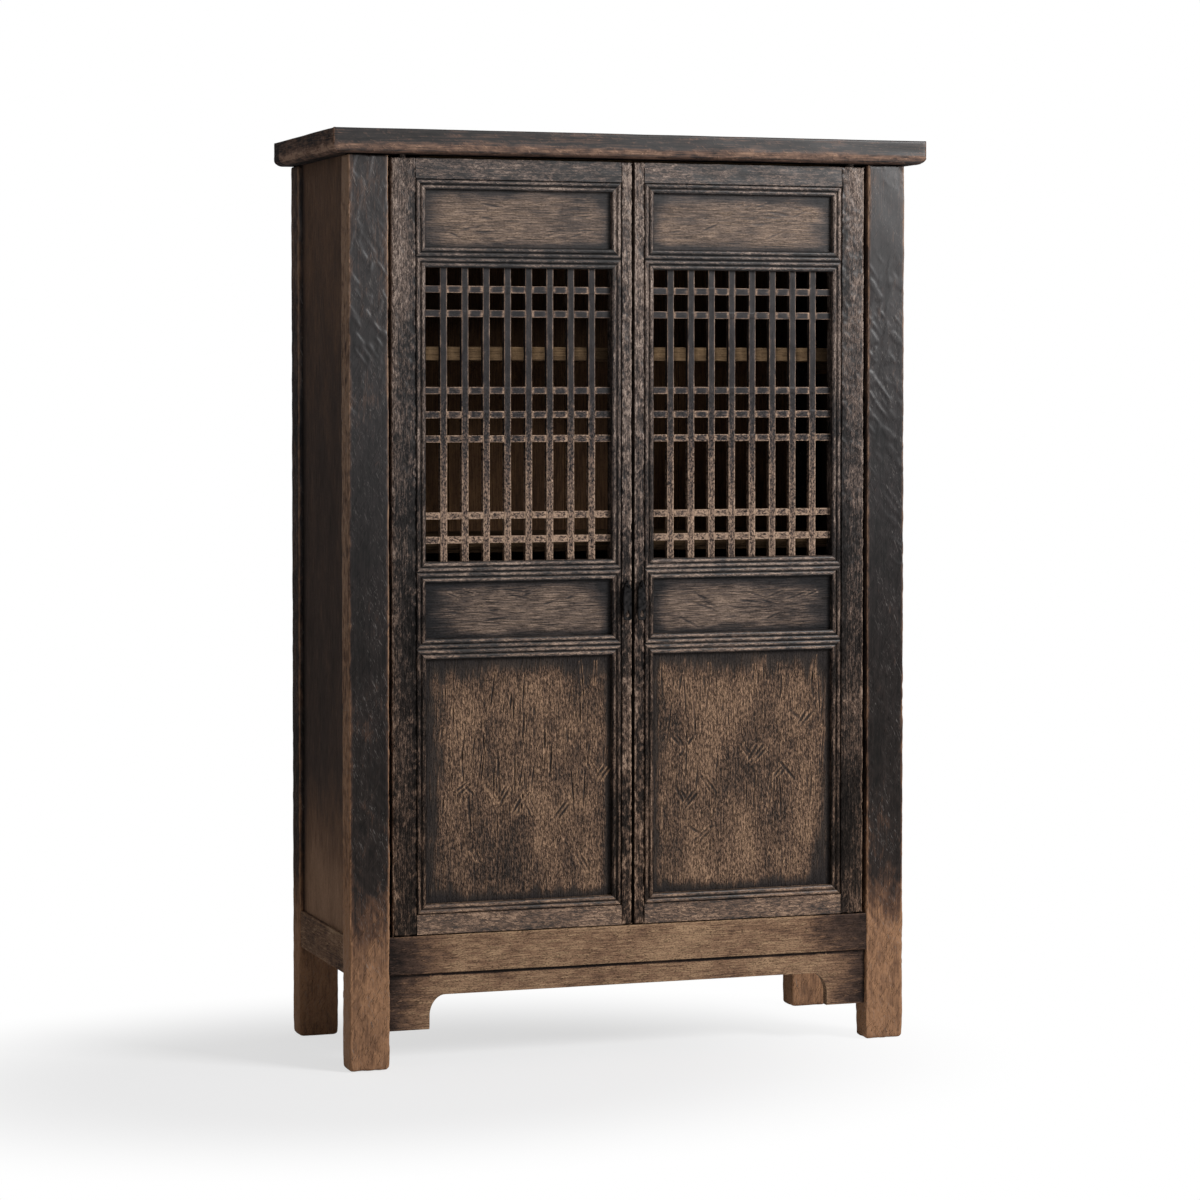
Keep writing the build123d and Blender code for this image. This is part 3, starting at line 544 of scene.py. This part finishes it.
for node, (axis, outward) in members.items():
    cross = 1 - axis
    low, high = np.array(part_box(node))
    outer = outward * half[cross]
    inner = outer - outward * FRAME_WIDTH
    round_under = low[2] + TOP_UNDER_RADIUS * np.array([0.2, 0.4, 0.6, 0.8, 1])
    lines = [None, None, marks(low[2], high[2], step=0.004, edge=TOP_UNDER_RADIUS / 2, at=round_under)]
    lines[axis] = marks(-1, 1, step=0.004 / half[axis], edge=0.008)
    lines[cross] = marks(min(inner, outer), max(inner, outer), step=0.006)
    member = Timber(*lines)
    across = outward * member.points[:, cross]
    depth = half[cross] - across
    up = member.points[:, 2] - low[2]
    wavy = 0.005 + 0.009 * noise(member.home * half[0], (0.05, 0.05, 0.05), seed=24)
    wiped = np.clip(1.4 - np.abs(up - wavy) / 0.011, 0, 1) * (depth < TOP_UNDER_RADIUS)
    member.rub = 0.85 * wiped + 0.3 * (depth < 0.001) * axis
    backward = member.home[:, 1] * (half[1] if axis else 1)
    member.rub *= backward < REACHED
    member.points[:, axis] *= half[axis] - depth
    # The lower half of the edge is a quarter round at both ends and along the front, and square at the back.
    for side_axis, way in ((0, -1), (0, 1), (1, -1)):
        out = way * member.points[:, side_axis] - (half[side_axis] - TOP_UNDER_RADIUS)
        down = member.points[:, 2] - (low[2] + TOP_UNDER_RADIUS)
        reach = np.hypot(out, down)
        turn = (out > 0) & (down < 0) & (reach > TOP_UNDER_RADIUS)
        scale = np.where(turn, TOP_UNDER_RADIUS / np.maximum(reach, 1e-9), 1)
        member.points[:, side_axis] += way * out * (scale - 1)
        member.points[:, 2] += down * (scale - 1)
    upright_corner = (0, 1, half[0], half[1], TOP_CORNER_RADIUS)
    upper_rim = (cross, 2, half[cross], high[2], TOP_RIM_RADIUS)
    for a, b, edge_a, edge_b, radius in (upright_corner, upper_rim):
        at_a = member.points[:, a]
        at_b = member.points[:, b]
        out_a = np.abs(at_a) - (edge_a - radius)
        out_b = np.abs(at_b) - (edge_b - radius)
        far = np.hypot(out_a, out_b)
        scale = np.where((out_a > 0) & (out_b > 0) & (far > radius), radius / np.maximum(far, 1e-9), 1)
        new_a = np.sign(at_a) * (edge_a - radius + out_a * scale)
        new_b = np.sign(at_b) * (edge_b - radius + out_b * scale)
        member.points[:, a] = new_a
        member.points[:, b] = new_b
    corner = np.max(half - np.abs(member.points[:, :2]), axis=1)
    member.rub = np.maximum(member.rub, 1.3 * np.clip(1 - corner / TOP_CORNER_RADIUS, 0, 1))
    lump = [0.02, 0.02, 0.014]
    lump[axis] = 0.08
    member.hollow(0.0009 * noise(member.points, lump, seed=9))
    member.points[:, :2] = np.clip(member.points[:, :2], -half, half)
    member.fit(f"{node}_worn", "carcass", top_woods[axis], node)
low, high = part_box("top_panel")
inner_x, inner_y = half - FRAME_WIDTH
zs = marks(low.z, high.z, step=0.006, edge=0.002)
panel = Timber(marks(-inner_x, inner_x, step=0.02), marks(-inner_y, inner_y, step=0.01), zs)
panel.hollow(0.0006 + 0.0008 * noise(panel.points, (0.2, 0.02, 0.02), seed=10))
panel.fit("top_panel_worn", "carcass", top_woods[0], "top_panel")

# Door frames: two stiles and five rails each, of stained wood, with two round beads worked along every
# opening. The rails' ends run out in mitred points between the stiles' beads, as a mason's mitre does. The
# doors turn on wooden pivots left on the hinge stiles' ends.
DOOR_FRONT, DOOR_BACK = -0.213, -0.183
OPENING = (0.044, 0.427)
PITCH, BEAD_BAND, BEAD_SUNK, BEAD_RISE = 0.010, 0.020, 0.0005, 0.0035
HINGE_EDGE, MEETING_EDGE = 0.498, 0.002
DOOR_LOW, DOOR_HIGH = 0.262, 1.776
PANELS = {"lower": (0.321, 0.8005), "waist": (0.8405, 0.9505), "upper": (1.6045, 1.716)}
LATTICE = (0.9905, 1.5645)
PIVOT_X, PIVOT_Y, PIVOT_RADIUS, PIVOTS = 0.4704, -0.198, 0.0079, ((0.2462, 0.2625), (1.7755, 1.7958))
openings = [PANELS["lower"], PANELS["waist"], LATTICE, PANELS["upper"]]
one_bead = [0.0001, 0.0006, 0.0014, 0.0026, 0.0038, 0.005, 0.0062, 0.0074, 0.0086, 0.0094, 0.0099]
bead_lines = np.concatenate([[0], one_bead, np.array(one_bead) + PITCH])
through = marks(DOOR_FRONT, DOOR_BACK, step=0.006, edge=0.003)  # grid lines through a door's thickness
bead_radius = (PITCH**2 / 4 + BEAD_RISE**2) / (2 * BEAD_RISE)


def bead(depth):
    """How far the surface lies behind the door's face, this far into the beaded band from the opening."""
    from_crown = np.mod(depth, PITCH) - PITCH / 2
    sunk = BEAD_SUNK + bead_radius - np.sqrt(bead_radius**2 - from_crown**2)
    return np.where((depth < BEAD_BAND) & (depth >= 0), sunk, 0)


def beaded(stick, depth, polish, dirt):
    """Work the beads into the face of a stick. depth is each point's distance from the opening, polish is
    how far the crowns are rubbed bare, and dirt how much has stayed on the beads; on some rails both also
    lighten the crowns as a painted highlight."""
    sunk = bead(depth)
    share = (DOOR_BACK - stick.points[:, 1]) / (DOOR_BACK - DOOR_FRONT)
    stick.points[:, 1] = DOOR_BACK - share * (DOOR_BACK - DOOR_FRONT - sunk)
    on_beads = (depth < BEAD_BAND) & (stick.home[:, 1] < DOOR_FRONT + 0.001)
    profile = np.clip(1 - (sunk - BEAD_SUNK) / BEAD_RISE, 0, 1)
    broken = noise(stick.points, (0.030, 0.01, 0.030), seed=12)
    stick.rub = np.where(on_beads, polish * profile**8 * np.clip(broken * 2 - 0.3, 0, 1.2), stick.rub)
    stick.grime = np.where(on_beads, dirt * (0.24 + 0.36 * (1 - profile)), stick.grime)
    return stick.hollow(np.where(on_beads, 0.0007 * np.clip(broken - 0.35, 0, 1) * profile, 0))


door_tones = [charcoal, shade(50, 46, 45), shade(110, 95, 87), shade(168, 150, 138)]
# The stiles are painted lighter high up, as sheen.
stile_wood = stained_wood(
    "stained_stile_wood", 2, door_tones, wear=0.31, patch=0.45, blotch=0.22, streak=0.55, grit=0.5,
    edge=0.5, crackle=(0.45, 0.0028, 0.009), bloom=(0.26, 0.9), flecks=((0.004, 0.006, 0.013), 38, 0.12),
    relief=0.0040, gloss=0.55, warmth=1,
)
door_rail_wood = stained_wood(
    "stained_door_rail_wood", 0, door_tones, wear=0.44, patch=0.4, blotch=0.3, streak=0.5, grit=0.4,
    edge=0.5, crackle=(0.5, 0.0032, 0.010), foot=(0.22, 0.6), flecks=((0.012, 0.006, 0.004), 20, 0.15),
    relief=0.0034, gloss=0.8, low_gloss=1, warmth=1,
)


def sideways(sign, first, second):
    """Two distances from the cabinet's middle, as low and high x on one side of it."""
    return sorted((sign * first, sign * second))


HINGE_ARRIS, MEETING_ARRIS, BACK_ARRIS = 0.008, 0.002, 0.0006
LAP = 0.0008  # how far a beaded strip runs on behind the flat of its stile
PULL_HOLE = (0.015, 0.877)
CARVED = {"right_hinge_stile": 0.4, "left_hinge_stile": 1.1}
stiles = {"hinge": (HINGE_EDGE, OPENING[1], 1), "meeting": (MEETING_EDGE, OPENING[0], -1)}
door_rails = {
    "bottom_rail": (PANELS["lower"][0], DOOR_LOW),
    "lower_cross_rail": (PANELS["lower"][1], PANELS["waist"][0]),
    "middle_cross_rail": (PANELS["waist"][1], LATTICE[0]),
    "upper_cross_rail": (LATTICE[1], PANELS["upper"][0]),
    "top_rail": (PANELS["upper"][1], DOOR_HIGH),
}
# How far hands have polished the beads of some rails, and how much dirt is left on them; on these rails
# the crowns are also lightened as a painted highlight.
beads_rubbed_and_lit = {"middle_cross_rail": (1.3, 0.55), "lower_cross_rail": (1.2, 0.6), "top_rail": (0.8, 0.75)}
for side, sign in SIDES.items():
    body = f"{side}_door"
    for kind, (edge_x, opening_x, inward) in stiles.items():
        band_edge = opening_x + inward * BEAD_BAND
        xs = marks(*sideways(sign, edge_x, band_edge), step=0.003)
        flat = Timber(xs, marks(DOOR_FRONT, DOOR_BACK, step=0.006), marks(DOOR_LOW, DOOR_HIGH, step=0.0035))
        outer = np.abs(np.abs(flat.points[:, 0]) - edge_x) < abs(edge_x - band_edge) / 2
        ragged = noise(flat.points, (0.02, 0.02, 0.012), seed=13)
        in_front = flat.home[:, 1] < DOOR_FRONT + 0.001
        scallops = ridges(flat.points, width=0.005, length=0.012, slants=(42, -50), seed=2) * in_front
        near_rim = np.clip(1.15 - flat.from_edge(2) / 0.018, 0, 1)
        carved = CARVED.get(f"{side}_{kind}_stile", 1.25)
        flat.rub = np.clip(1 - flat.from_edge(2) / 0.006, 0, 1) * outer
        flat.rub = flat.rub + scallops * (0.1 + 0.5 * near_rim) * carved
        x = np.abs(flat.points[:, 0])
        from_hole = ((x - PULL_HOLE[0]) / 0.008) ** 2 + ((flat.points[:, 2] - PULL_HOLE[1]) / 0.010) ** 2
        flat.rub = np.maximum(flat.rub, 1.3 * np.exp(-from_hole))
        flat.grime = 0.35 * np.clip(1 - np.abs(x - band_edge) / 0.022, 0, 1) * (kind == "hinge")
        if kind == "hinge":
            arris = HINGE_ARRIS * (0.8 + 0.4 * ragged)
        else:
            arris = MEETING_ARRIS + 0.002 * ragged
        flat.round(np.where(outer, arris, BACK_ARRIS), ends=2)
        flat.hollow(0.0012 * noise(flat.points, (0.009, 0.02, 0.02), seed=14) + 0.0010 * (1 - scallops))
        stick = flat
        if kind == "hinge":
            xs = marks(*sideways(sign, PIVOT_X - PIVOT_RADIUS, PIVOT_X + PIVOT_RADIUS), step=0.002)
            ys = marks(PIVOT_Y - PIVOT_RADIUS, PIVOT_Y + PIVOT_RADIUS, step=0.002)
            for foot, head in PIVOTS:
                stick = stick + Timber(xs, ys, marks(foot, head, step=0.005)).round(PIVOT_RADIUS, ends=2)
        for opening in openings:
            xs = np.abs(opening_x + inward * np.append(bead_lines, BEAD_BAND + LAP)) * sign
            along_z = marks(0, 1, step=0.005 / (opening[1] - opening[0]), edge=0.01)
            strip = Timber(np.sort(xs), through, along_z)
            depth = np.abs(np.abs(strip.points[:, 0]) - opening_x)
            reach = np.minimum(depth, BEAD_BAND)
            foot, head = opening[0] - reach, opening[1] + reach
            strip.points[:, 2] = foot + strip.points[:, 2] * (head - foot)
            stick = stick + beaded(strip, depth, 0.7, 0.15)
        stick.fit(f"{body}_{kind}_stile_worn", body, stile_wood, f"{body}_{kind}_stile")
    for kind, (start, end) in door_rails.items():
        up = 1 if end > start else -1
        length = abs(end - start)
        if "cross" in kind:
            across = np.concatenate([bead_lines, bead_lines[1:] + BEAD_BAND, [length]])
        else:
            across = np.concatenate([bead_lines, marks(BEAD_BAND + 0.0002, length, step=0.005)])
        zs = np.sort(start + up * across)
        rail = Timber(marks(0, 1, step=0.005 / 0.4, edge=0.01), through, zs)
        depth = np.abs(rail.points[:, 2] - start)
        if "cross" in kind:
            depth = np.minimum(depth, length - depth)
        reach = np.minimum(depth, BEAD_BAND)
        first = OPENING[0] - reach
        last = OPENING[1] + reach
        rail.points[:, 0] = sign * (first + rail.points[:, 0] * (last - first))
        if sign < 0:
            rail.faces = rail.faces[:, ::-1]
        rail.hollow((depth > BEAD_BAND) * (0.0008 * noise(rail.points, (0.03, 0.02, 0.01), seed=16)))
        beaded(rail, np.where(depth > BEAD_BAND, 1, depth), *beads_rubbed_and_lit.get(kind, (0.65, 1)))
        rail.fit(f"{body}_{kind}_worn", body, door_rail_wood, f"{body}_{kind}")

# Door panels: thin boards in the frames' grooves. The stain is left dark where cloths never reach, along the
# frame, and worn to brown in the middle; the chisel has left groups of short slanting grooves.
panel_tones = [shade(46, 42, 41), shade(64, 56, 51), shade(114, 91, 76), shade(164, 133, 108)]
panel_wood = stained_wood(
    "stained_panel_wood", 2, panel_tones, wear=0.63, patch=0.42, blotch=0.2, streak=0.6, grit=0.5, edge=0.5,
    soil=0.68, crackle=(0.6, 0.0032, 0.0080), flecks=((0.003, 0.006, 0.040), 4, 0.2), relief=0.0042,
    gloss=0.4,
)
cross_tones = [shade(40, 39, 40), shade(65, 59, 57), shade(110, 95, 86), shade(154, 133, 117)]
# The cross panels are painted lighter high up, as sheen.
cross_panel_wood = stained_wood(
    "stained_cross_panel_wood", 0, cross_tones, wear=0.63, patch=0.35, blotch=0.16, streak=0.8, grit=0.4,
    edge=0.5, soil=0.6, crackle=(0.32, 0.0024, 0.026), bloom=(0.16, 1.2), relief=0.0036, gloss=0.4,
    flecks=((0.050, 0.006, 0.003), -3, 0.15),
)


GROOVE_WIDTH, GROOVE_DEPTH, GROOVE_STEP, LIP_HEIGHT = 0.0058, 0.0018, 0.008, 0.0008


def gouges(board, strokes, strength):
    """Cut grooves into a board's face, and rub their lips bare. Each stroke is its middle's x and z, its
    slant in degrees, its length and its width."""
    face = board.home[:, 1] < board.low[1] + 0.0001
    for x, z, slant, length, width in strokes:
        away = board.points[:, [0, 2]] - (x, z)
        way = np.array([math.cos(math.radians(slant)), math.sin(math.radians(slant))])
        on_line = np.clip(away @ way, -length / 2, length / 2)
        off_line = np.linalg.norm(away - on_line[:, None] * way, axis=1) / (width / 2)
        cut = np.exp(-(off_line**2)) * (1 - 0.7 * (2 * np.abs(on_line) / length) ** 2) * face
        lip = np.exp(-((off_line - 1.4) ** 2) * 3) * (np.abs(on_line) < 0.49 * length) * face
        board.points[:, 1] += strength * (GROOVE_DEPTH * cut - LIP_HEIGHT * lip)
        board.rub = np.maximum(board.rub, strength * lip)
        board.grime = np.maximum(board.grime * (1 - 0.7 * lip), 0.9 * cut)


chisel = np.random.default_rng(23)
# Where each lower panel's groups of grooves begin, as shares of its width and height, and how deep they are.
GROUPS = {
    "right": (
        (0.16, 0.40), (0.15, 0.62), (0.30, 0.45), (0.52, 0.58), (0.72, 0.50), (0.80, 0.72), (0.24, 0.25),
    ),
    "left": (
        (0.19, 0.47), (0.36, 0.44), (0.50, 0.40), (0.72, 0.36), (0.90, 0.52), (0.26, 0.19), (0.84, 0.14),
    ),
}
GOUGED = {"right": 0.65, "left": 1.0}
# Single scratches: how many, how far across and up the panel, their slants, their lengths and their width.
LOWER_SCRATCHES = (40, (0.04, 0.96), (0.35, 0.95), (80, 96), (0.02, 0.09), 0.0036)
CROSS_SCRATCHES = (12, (0.08, 0.92), (0.15, 0.85), (-28, 24), (0.015, 0.06), 0.0042)
# How far dirt reaches in from the frame: at the meeting stile, the hinge stile, the foot and the head.
LOWER_DIRT, CROSS_DIRT = (0.028, 0.040, 0.026, 0.055), (0.030, 0.058, 0.018, 0.026)
for side, sign in SIDES.items():
    body = f"{side}_door"
    first, last = sideways(sign, *OPENING)
    width = last - first
    for kind, (foot, head) in PANELS.items():
        node = f"{body}_{kind}_panel"
        low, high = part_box(node)
        board = Timber(
            marks(low.x, high.x, step=0.0023),
            marks(low.y, high.y, step=0.005, edge=0.001),
            marks(low.z, high.z, step=0.0025),
        )
        x = sign * board.points[:, 0]
        z = board.points[:, 2]
        dirt = LOWER_DIRT if kind == "lower" else CROSS_DIRT
        gaps = [x - OPENING[0], OPENING[1] - x, z - foot, head - z]
        lump = (0.016, 0.02, 0.09) if kind == "lower" else (0.09, 0.02, 0.016)
        ragged = 0.35 + 1.3 * noise(board.points, lump, seed=21)
        board.grime = sum(np.clip(1 - gap / far * ragged, 0, 1.2) ** 1.3 for gap, far in zip(gaps, dirt))
        smudge = np.clip(noise(board.points, (0.13, 0.05, 0.18), seed=22) * 2 - 0.9, 0, 1)
        board.grime = np.clip(board.grime + 0.5 * smudge, 0, 1.2)
        board.hollow(np.where(board.home[:, 1] < low.y + 0.0001, 0.0010, 0))
        strokes = []
        if kind == "lower":
            for over, up in GROUPS[side]:
                slant = chisel.choice([-1, 1]) * chisel.uniform(35, 65)
                for n in range(chisel.integers(2, 6)):
                    shift = GROOVE_STEP * n + chisel.uniform(-0.001, 0.001)
                    slant = -slant if n == 2 else slant
                    place = (first + over * width + shift, foot + up * (head - foot) - 0.3 * shift)
                    turn = slant + chisel.uniform(-8, 8)
                    strokes.append((*place, turn, chisel.uniform(0.026, 0.055), GROOVE_WIDTH))
        scratches = LOWER_SCRATCHES if kind == "lower" else CROSS_SCRATCHES
        count, across, upward, slants, lengths, scratch_width = scratches
        for _ in range(count):
            place = (first + chisel.uniform(*across) * width, foot + chisel.uniform(*upward) * (head - foot))
            strokes.append((*place, chisel.uniform(*slants), chisel.uniform(*lengths), scratch_width))
        gouges(board, strokes, GOUGED[side] if kind == "lower" else 0.3)
        lump = (0.03, 0.02, 0.12) if kind == "lower" else (0.12, 0.02, 0.02)
        waves = 0.0009 * noise(board.points, lump, seed=17)
        board.hollow(waves + 0.0002 * noise(board.points, (0.004, 0.01, 0.02), seed=18))
        board.fit(f"{node}_worn", body, panel_wood if kind == "lower" else cross_panel_wood, node)

# Lattices: eight upright bars and seven crossbars of stained wood in each door, halved into one another with
# the uprights in front. Their ends are tenoned into the beaded frame.
BAR_WIDTH, BAR_FRONT, BAR_MIDDLE, BAR_BACK = 0.0145, -0.201, -0.194, -0.187
UPRIGHTS = [0.0829 + 0.0436 * n for n in range(8)]
CROSSBARS = [1.2775 + z for z in (-0.24495, -0.19765, -0.0473, 0, 0.0473, 0.19765, 0.24495)]
lattice_tones = [shade(28, 27, 28), shade(52, 49, 50), shade(110, 92, 82), shade(176, 149, 128)]
lattice_woods = {}
for axis in (0, 2):
    lattice_woods[axis] = stained_wood(
        f"stained_lattice_wood_{'xyz'[axis]}", axis, lattice_tones, wear=0.24, patch=0.1, blotch=0.3,
        streak=0.3, grit=0.4, edge=0.7, soil=0.1, crackle=(0.8, 0.0034, 0.0055), relief=0.0012, gloss=0.5,
        foot=(0.42 - 0.02 * axis, 1.34), flecks=((0.0022, 0.006, 0.003), 30, 0.1),
    )
for side, sign in SIDES.items():
    body = f"{side}_door"
    own = [sign * x for x in UPRIGHTS]
    for kind, axis, centres, others in (("uprights", 2, own, CROSSBARS), ("crossbars", 0, CROSSBARS, own)):
        node = f"{side}_lattice_{kind}"
        low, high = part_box(node)
        shoulders = [way * (BAR_WIDTH / 2 + gap) for way in (-1, 1) for gap in (-HAIR / 2, HAIR / 2)]
        crossings = [other + shoulder for other in others for shoulder in shoulders]
        bars = None
        for middle in centres:
            lines = [None, marks(BAR_FRONT, BAR_BACK, step=0.0035, edge=0.002), None]
            lines[2 - axis] = marks(middle - BAR_WIDTH / 2, middle + BAR_WIDTH / 2, step=0.003, edge=0.0025)
            lines[axis] = marks(low[axis], high[axis], step=0.005, at=crossings)
            bar = Timber(*lines)
            ragged = noise(bar.points, (0.012, 0.012, 0.012), seed=19)
            bar.rub = np.clip(1 - bar.from_edge(axis) / 0.0028, 0, 1)
            bar.grime = 0.65 * np.clip((bar.points[:, 2] - 1.18) / 0.2, 0, 1)
            bar.round(0.0009 + 0.0012 * ragged, ends=axis)
            bar.hollow(0.0006 * noise(bar.points, (0.02, 0.02, 0.02), seed=20))
            at = bar.home[:, axis]
            beside = np.min(np.abs(at[:, None] - np.array(others)), axis=1) - BAR_WIDTH / 2
            halved = beside < 0
            if axis == 0:
                bar.rub = np.maximum(bar.rub, np.clip(1 - np.abs(beside - 0.001) / 0.0035, 0, 1))
            # Where two bars cross, an upright keeps its front half and a crossbar its back half.
            y = bar.points[:, 1]
            if axis == 2:
                share = (y - BAR_FRONT) / (BAR_BACK - BAR_FRONT)
                bar.points[:, 1] = np.where(halved, BAR_FRONT + share * (BAR_MIDDLE - BAR_FRONT), y)
            else:
                share = (BAR_BACK - y) / (BAR_BACK - BAR_FRONT)
                bar.points[:, 1] = np.where(halved, BAR_BACK - share * (BAR_BACK - BAR_MIDDLE), y)
            bars = bar if bars is None else bars + bar
        bars.fit(f"{node}_worn", body, lattice_woods[axis], node)

# Pulls: a flat iron tab hangs from the eye of a split pin in each meeting stile. Both are forged, blackened
# and a little pitted, and the tab swings freely on its pin.
iron = Finish("black_iron", Metallic=0.4, Specular_IOR_Level=0.06)
pitting = iron.grain((0.0012, 0.0012, 0.0012), detail=3)
bloom = iron.grain((0.008, 0.008, 0.008), detail=2)
iron_colour = iron.colours(bloom, [(0.35, shade(8, 8, 9)), (0.6, shade(38, 36, 36))])
black_iron = iron.surface(iron_colour, pitting * 0.3 + 0.35, pitting, 0.0002)
for side in SIDES:
    cover(f"{side}_pull_pin", black_iron)
    cover(f"{side}_pull_tab", black_iron)

# Setting: a pale paper floor that runs out to white round the cabinet and keeps a shadow, paled there by a
# painted white glow, a white room, one soft lamp at the front right, and the camera.
FLOOR_SIZE = 40
WHITE_FROM, WHITE_AT, LEAST_WHITE = 0.42, 1.05, 0.66
bpy.ops.mesh.primitive_plane_add(size=FLOOR_SIZE)
floor = bpy.context.object
floor.name = "studio_floor"
paper = Finish("studio_floor_paper", Roughness=0.9, Base_Color=shade(238, 237, 238), Specular_IOR_Level=0.1)


def seen_directly(nodes):
    """1 for rays from the camera and for mirror and glass rays, 0 for the light that falls on the object."""
    rays = []
    for kind in ("Camera", "Glossy", "Transmission"):
        rays.append(nodes.node("ShaderNodeLightPath", output=f"Is {kind} Ray"))
    return rays[0].math("MAXIMUM", rays[1].math("MAXIMUM", rays[2]))


# Seen directly, the paper is a painted white glow outside an oval whose centre lies to the left and front of
# the cabinet's middle, and at least two thirds glow inside it, which pales its shadow.
place = paper.node("ShaderNodeTexCoord", output="Object")
inputs = {0: place, 1: (0.8, 1.1, 0), 2: (0.4, 0.25, 0)}
away = paper.node("ShaderNodeVectorMath", {"operation": "MULTIPLY_ADD"}, inputs)
distance = paper.node("ShaderNodeVectorMath", {"operation": "LENGTH"}, {0: away}, output="Value")
glow = paper.node("ShaderNodeEmission", inputs={"Color": shade(255, 255, 255), "Strength": 1.0})
matt = Socket(paper, paper.shader.outputs[0])
glow_share = (distance.rise(WHITE_FROM, WHITE_AT) * (1 - LEAST_WHITE) + LEAST_WHITE) * seen_directly(paper)
blended = paper.node("ShaderNodeMixShader", inputs={0: glow_share, 1: matt, 2: glow})
paper.tree.links.new(blended.output, paper.tree.nodes["Material Output"].inputs["Surface"])
floor.data.materials.append(paper.material)

world = bpy.data.worlds.new("studio_room")
world.use_nodes = True
bpy.context.scene.world = world
room = Nodes(world.node_tree)
sky = room.node("ShaderNodeBackground", inputs={"Color": shade(255, 255, 255), "Strength": 0.2})
backdrop = room.node("ShaderNodeBackground", inputs={"Color": shade(255, 255, 255), "Strength": 1.0})
whole = room.node("ShaderNodeMixShader", inputs={0: seen_directly(room), 1: sky, 2: backdrop})
room.tree.links.new(whole.output, room.tree.nodes["World Output"].inputs["Surface"])

lamp = bpy.data.lights.new("softbox", "AREA")
lamp.energy = 300
lamp.shape = "SQUARE"
lamp.size = 1.8
softbox = bpy.data.objects.new("softbox", lamp)
bpy.context.scene.collection.objects.link(softbox)
softbox.location = (3.3, -3.9, 3.3)
softbox.rotation_euler = (softbox.location - Vector((0, 0, 1.0))).to_track_quat("Z", "Y").to_euler()

eye = bpy.data.cameras.new("camera")
eye.sensor_width = 36
eye.lens = 105.67
eye.shift_y = -0.08
camera = bpy.data.objects.new("camera", eye)
camera.location = (-2.3151, -6.8087, 1.3318)
camera.rotation_euler = Euler((math.radians(90 - 1.903), 0, math.radians(-18.798)))
bpy.context.scene.collection.objects.link(camera)
bpy.context.scene.camera = camera
bpy.context.scene.view_settings.view_transform = "Standard"
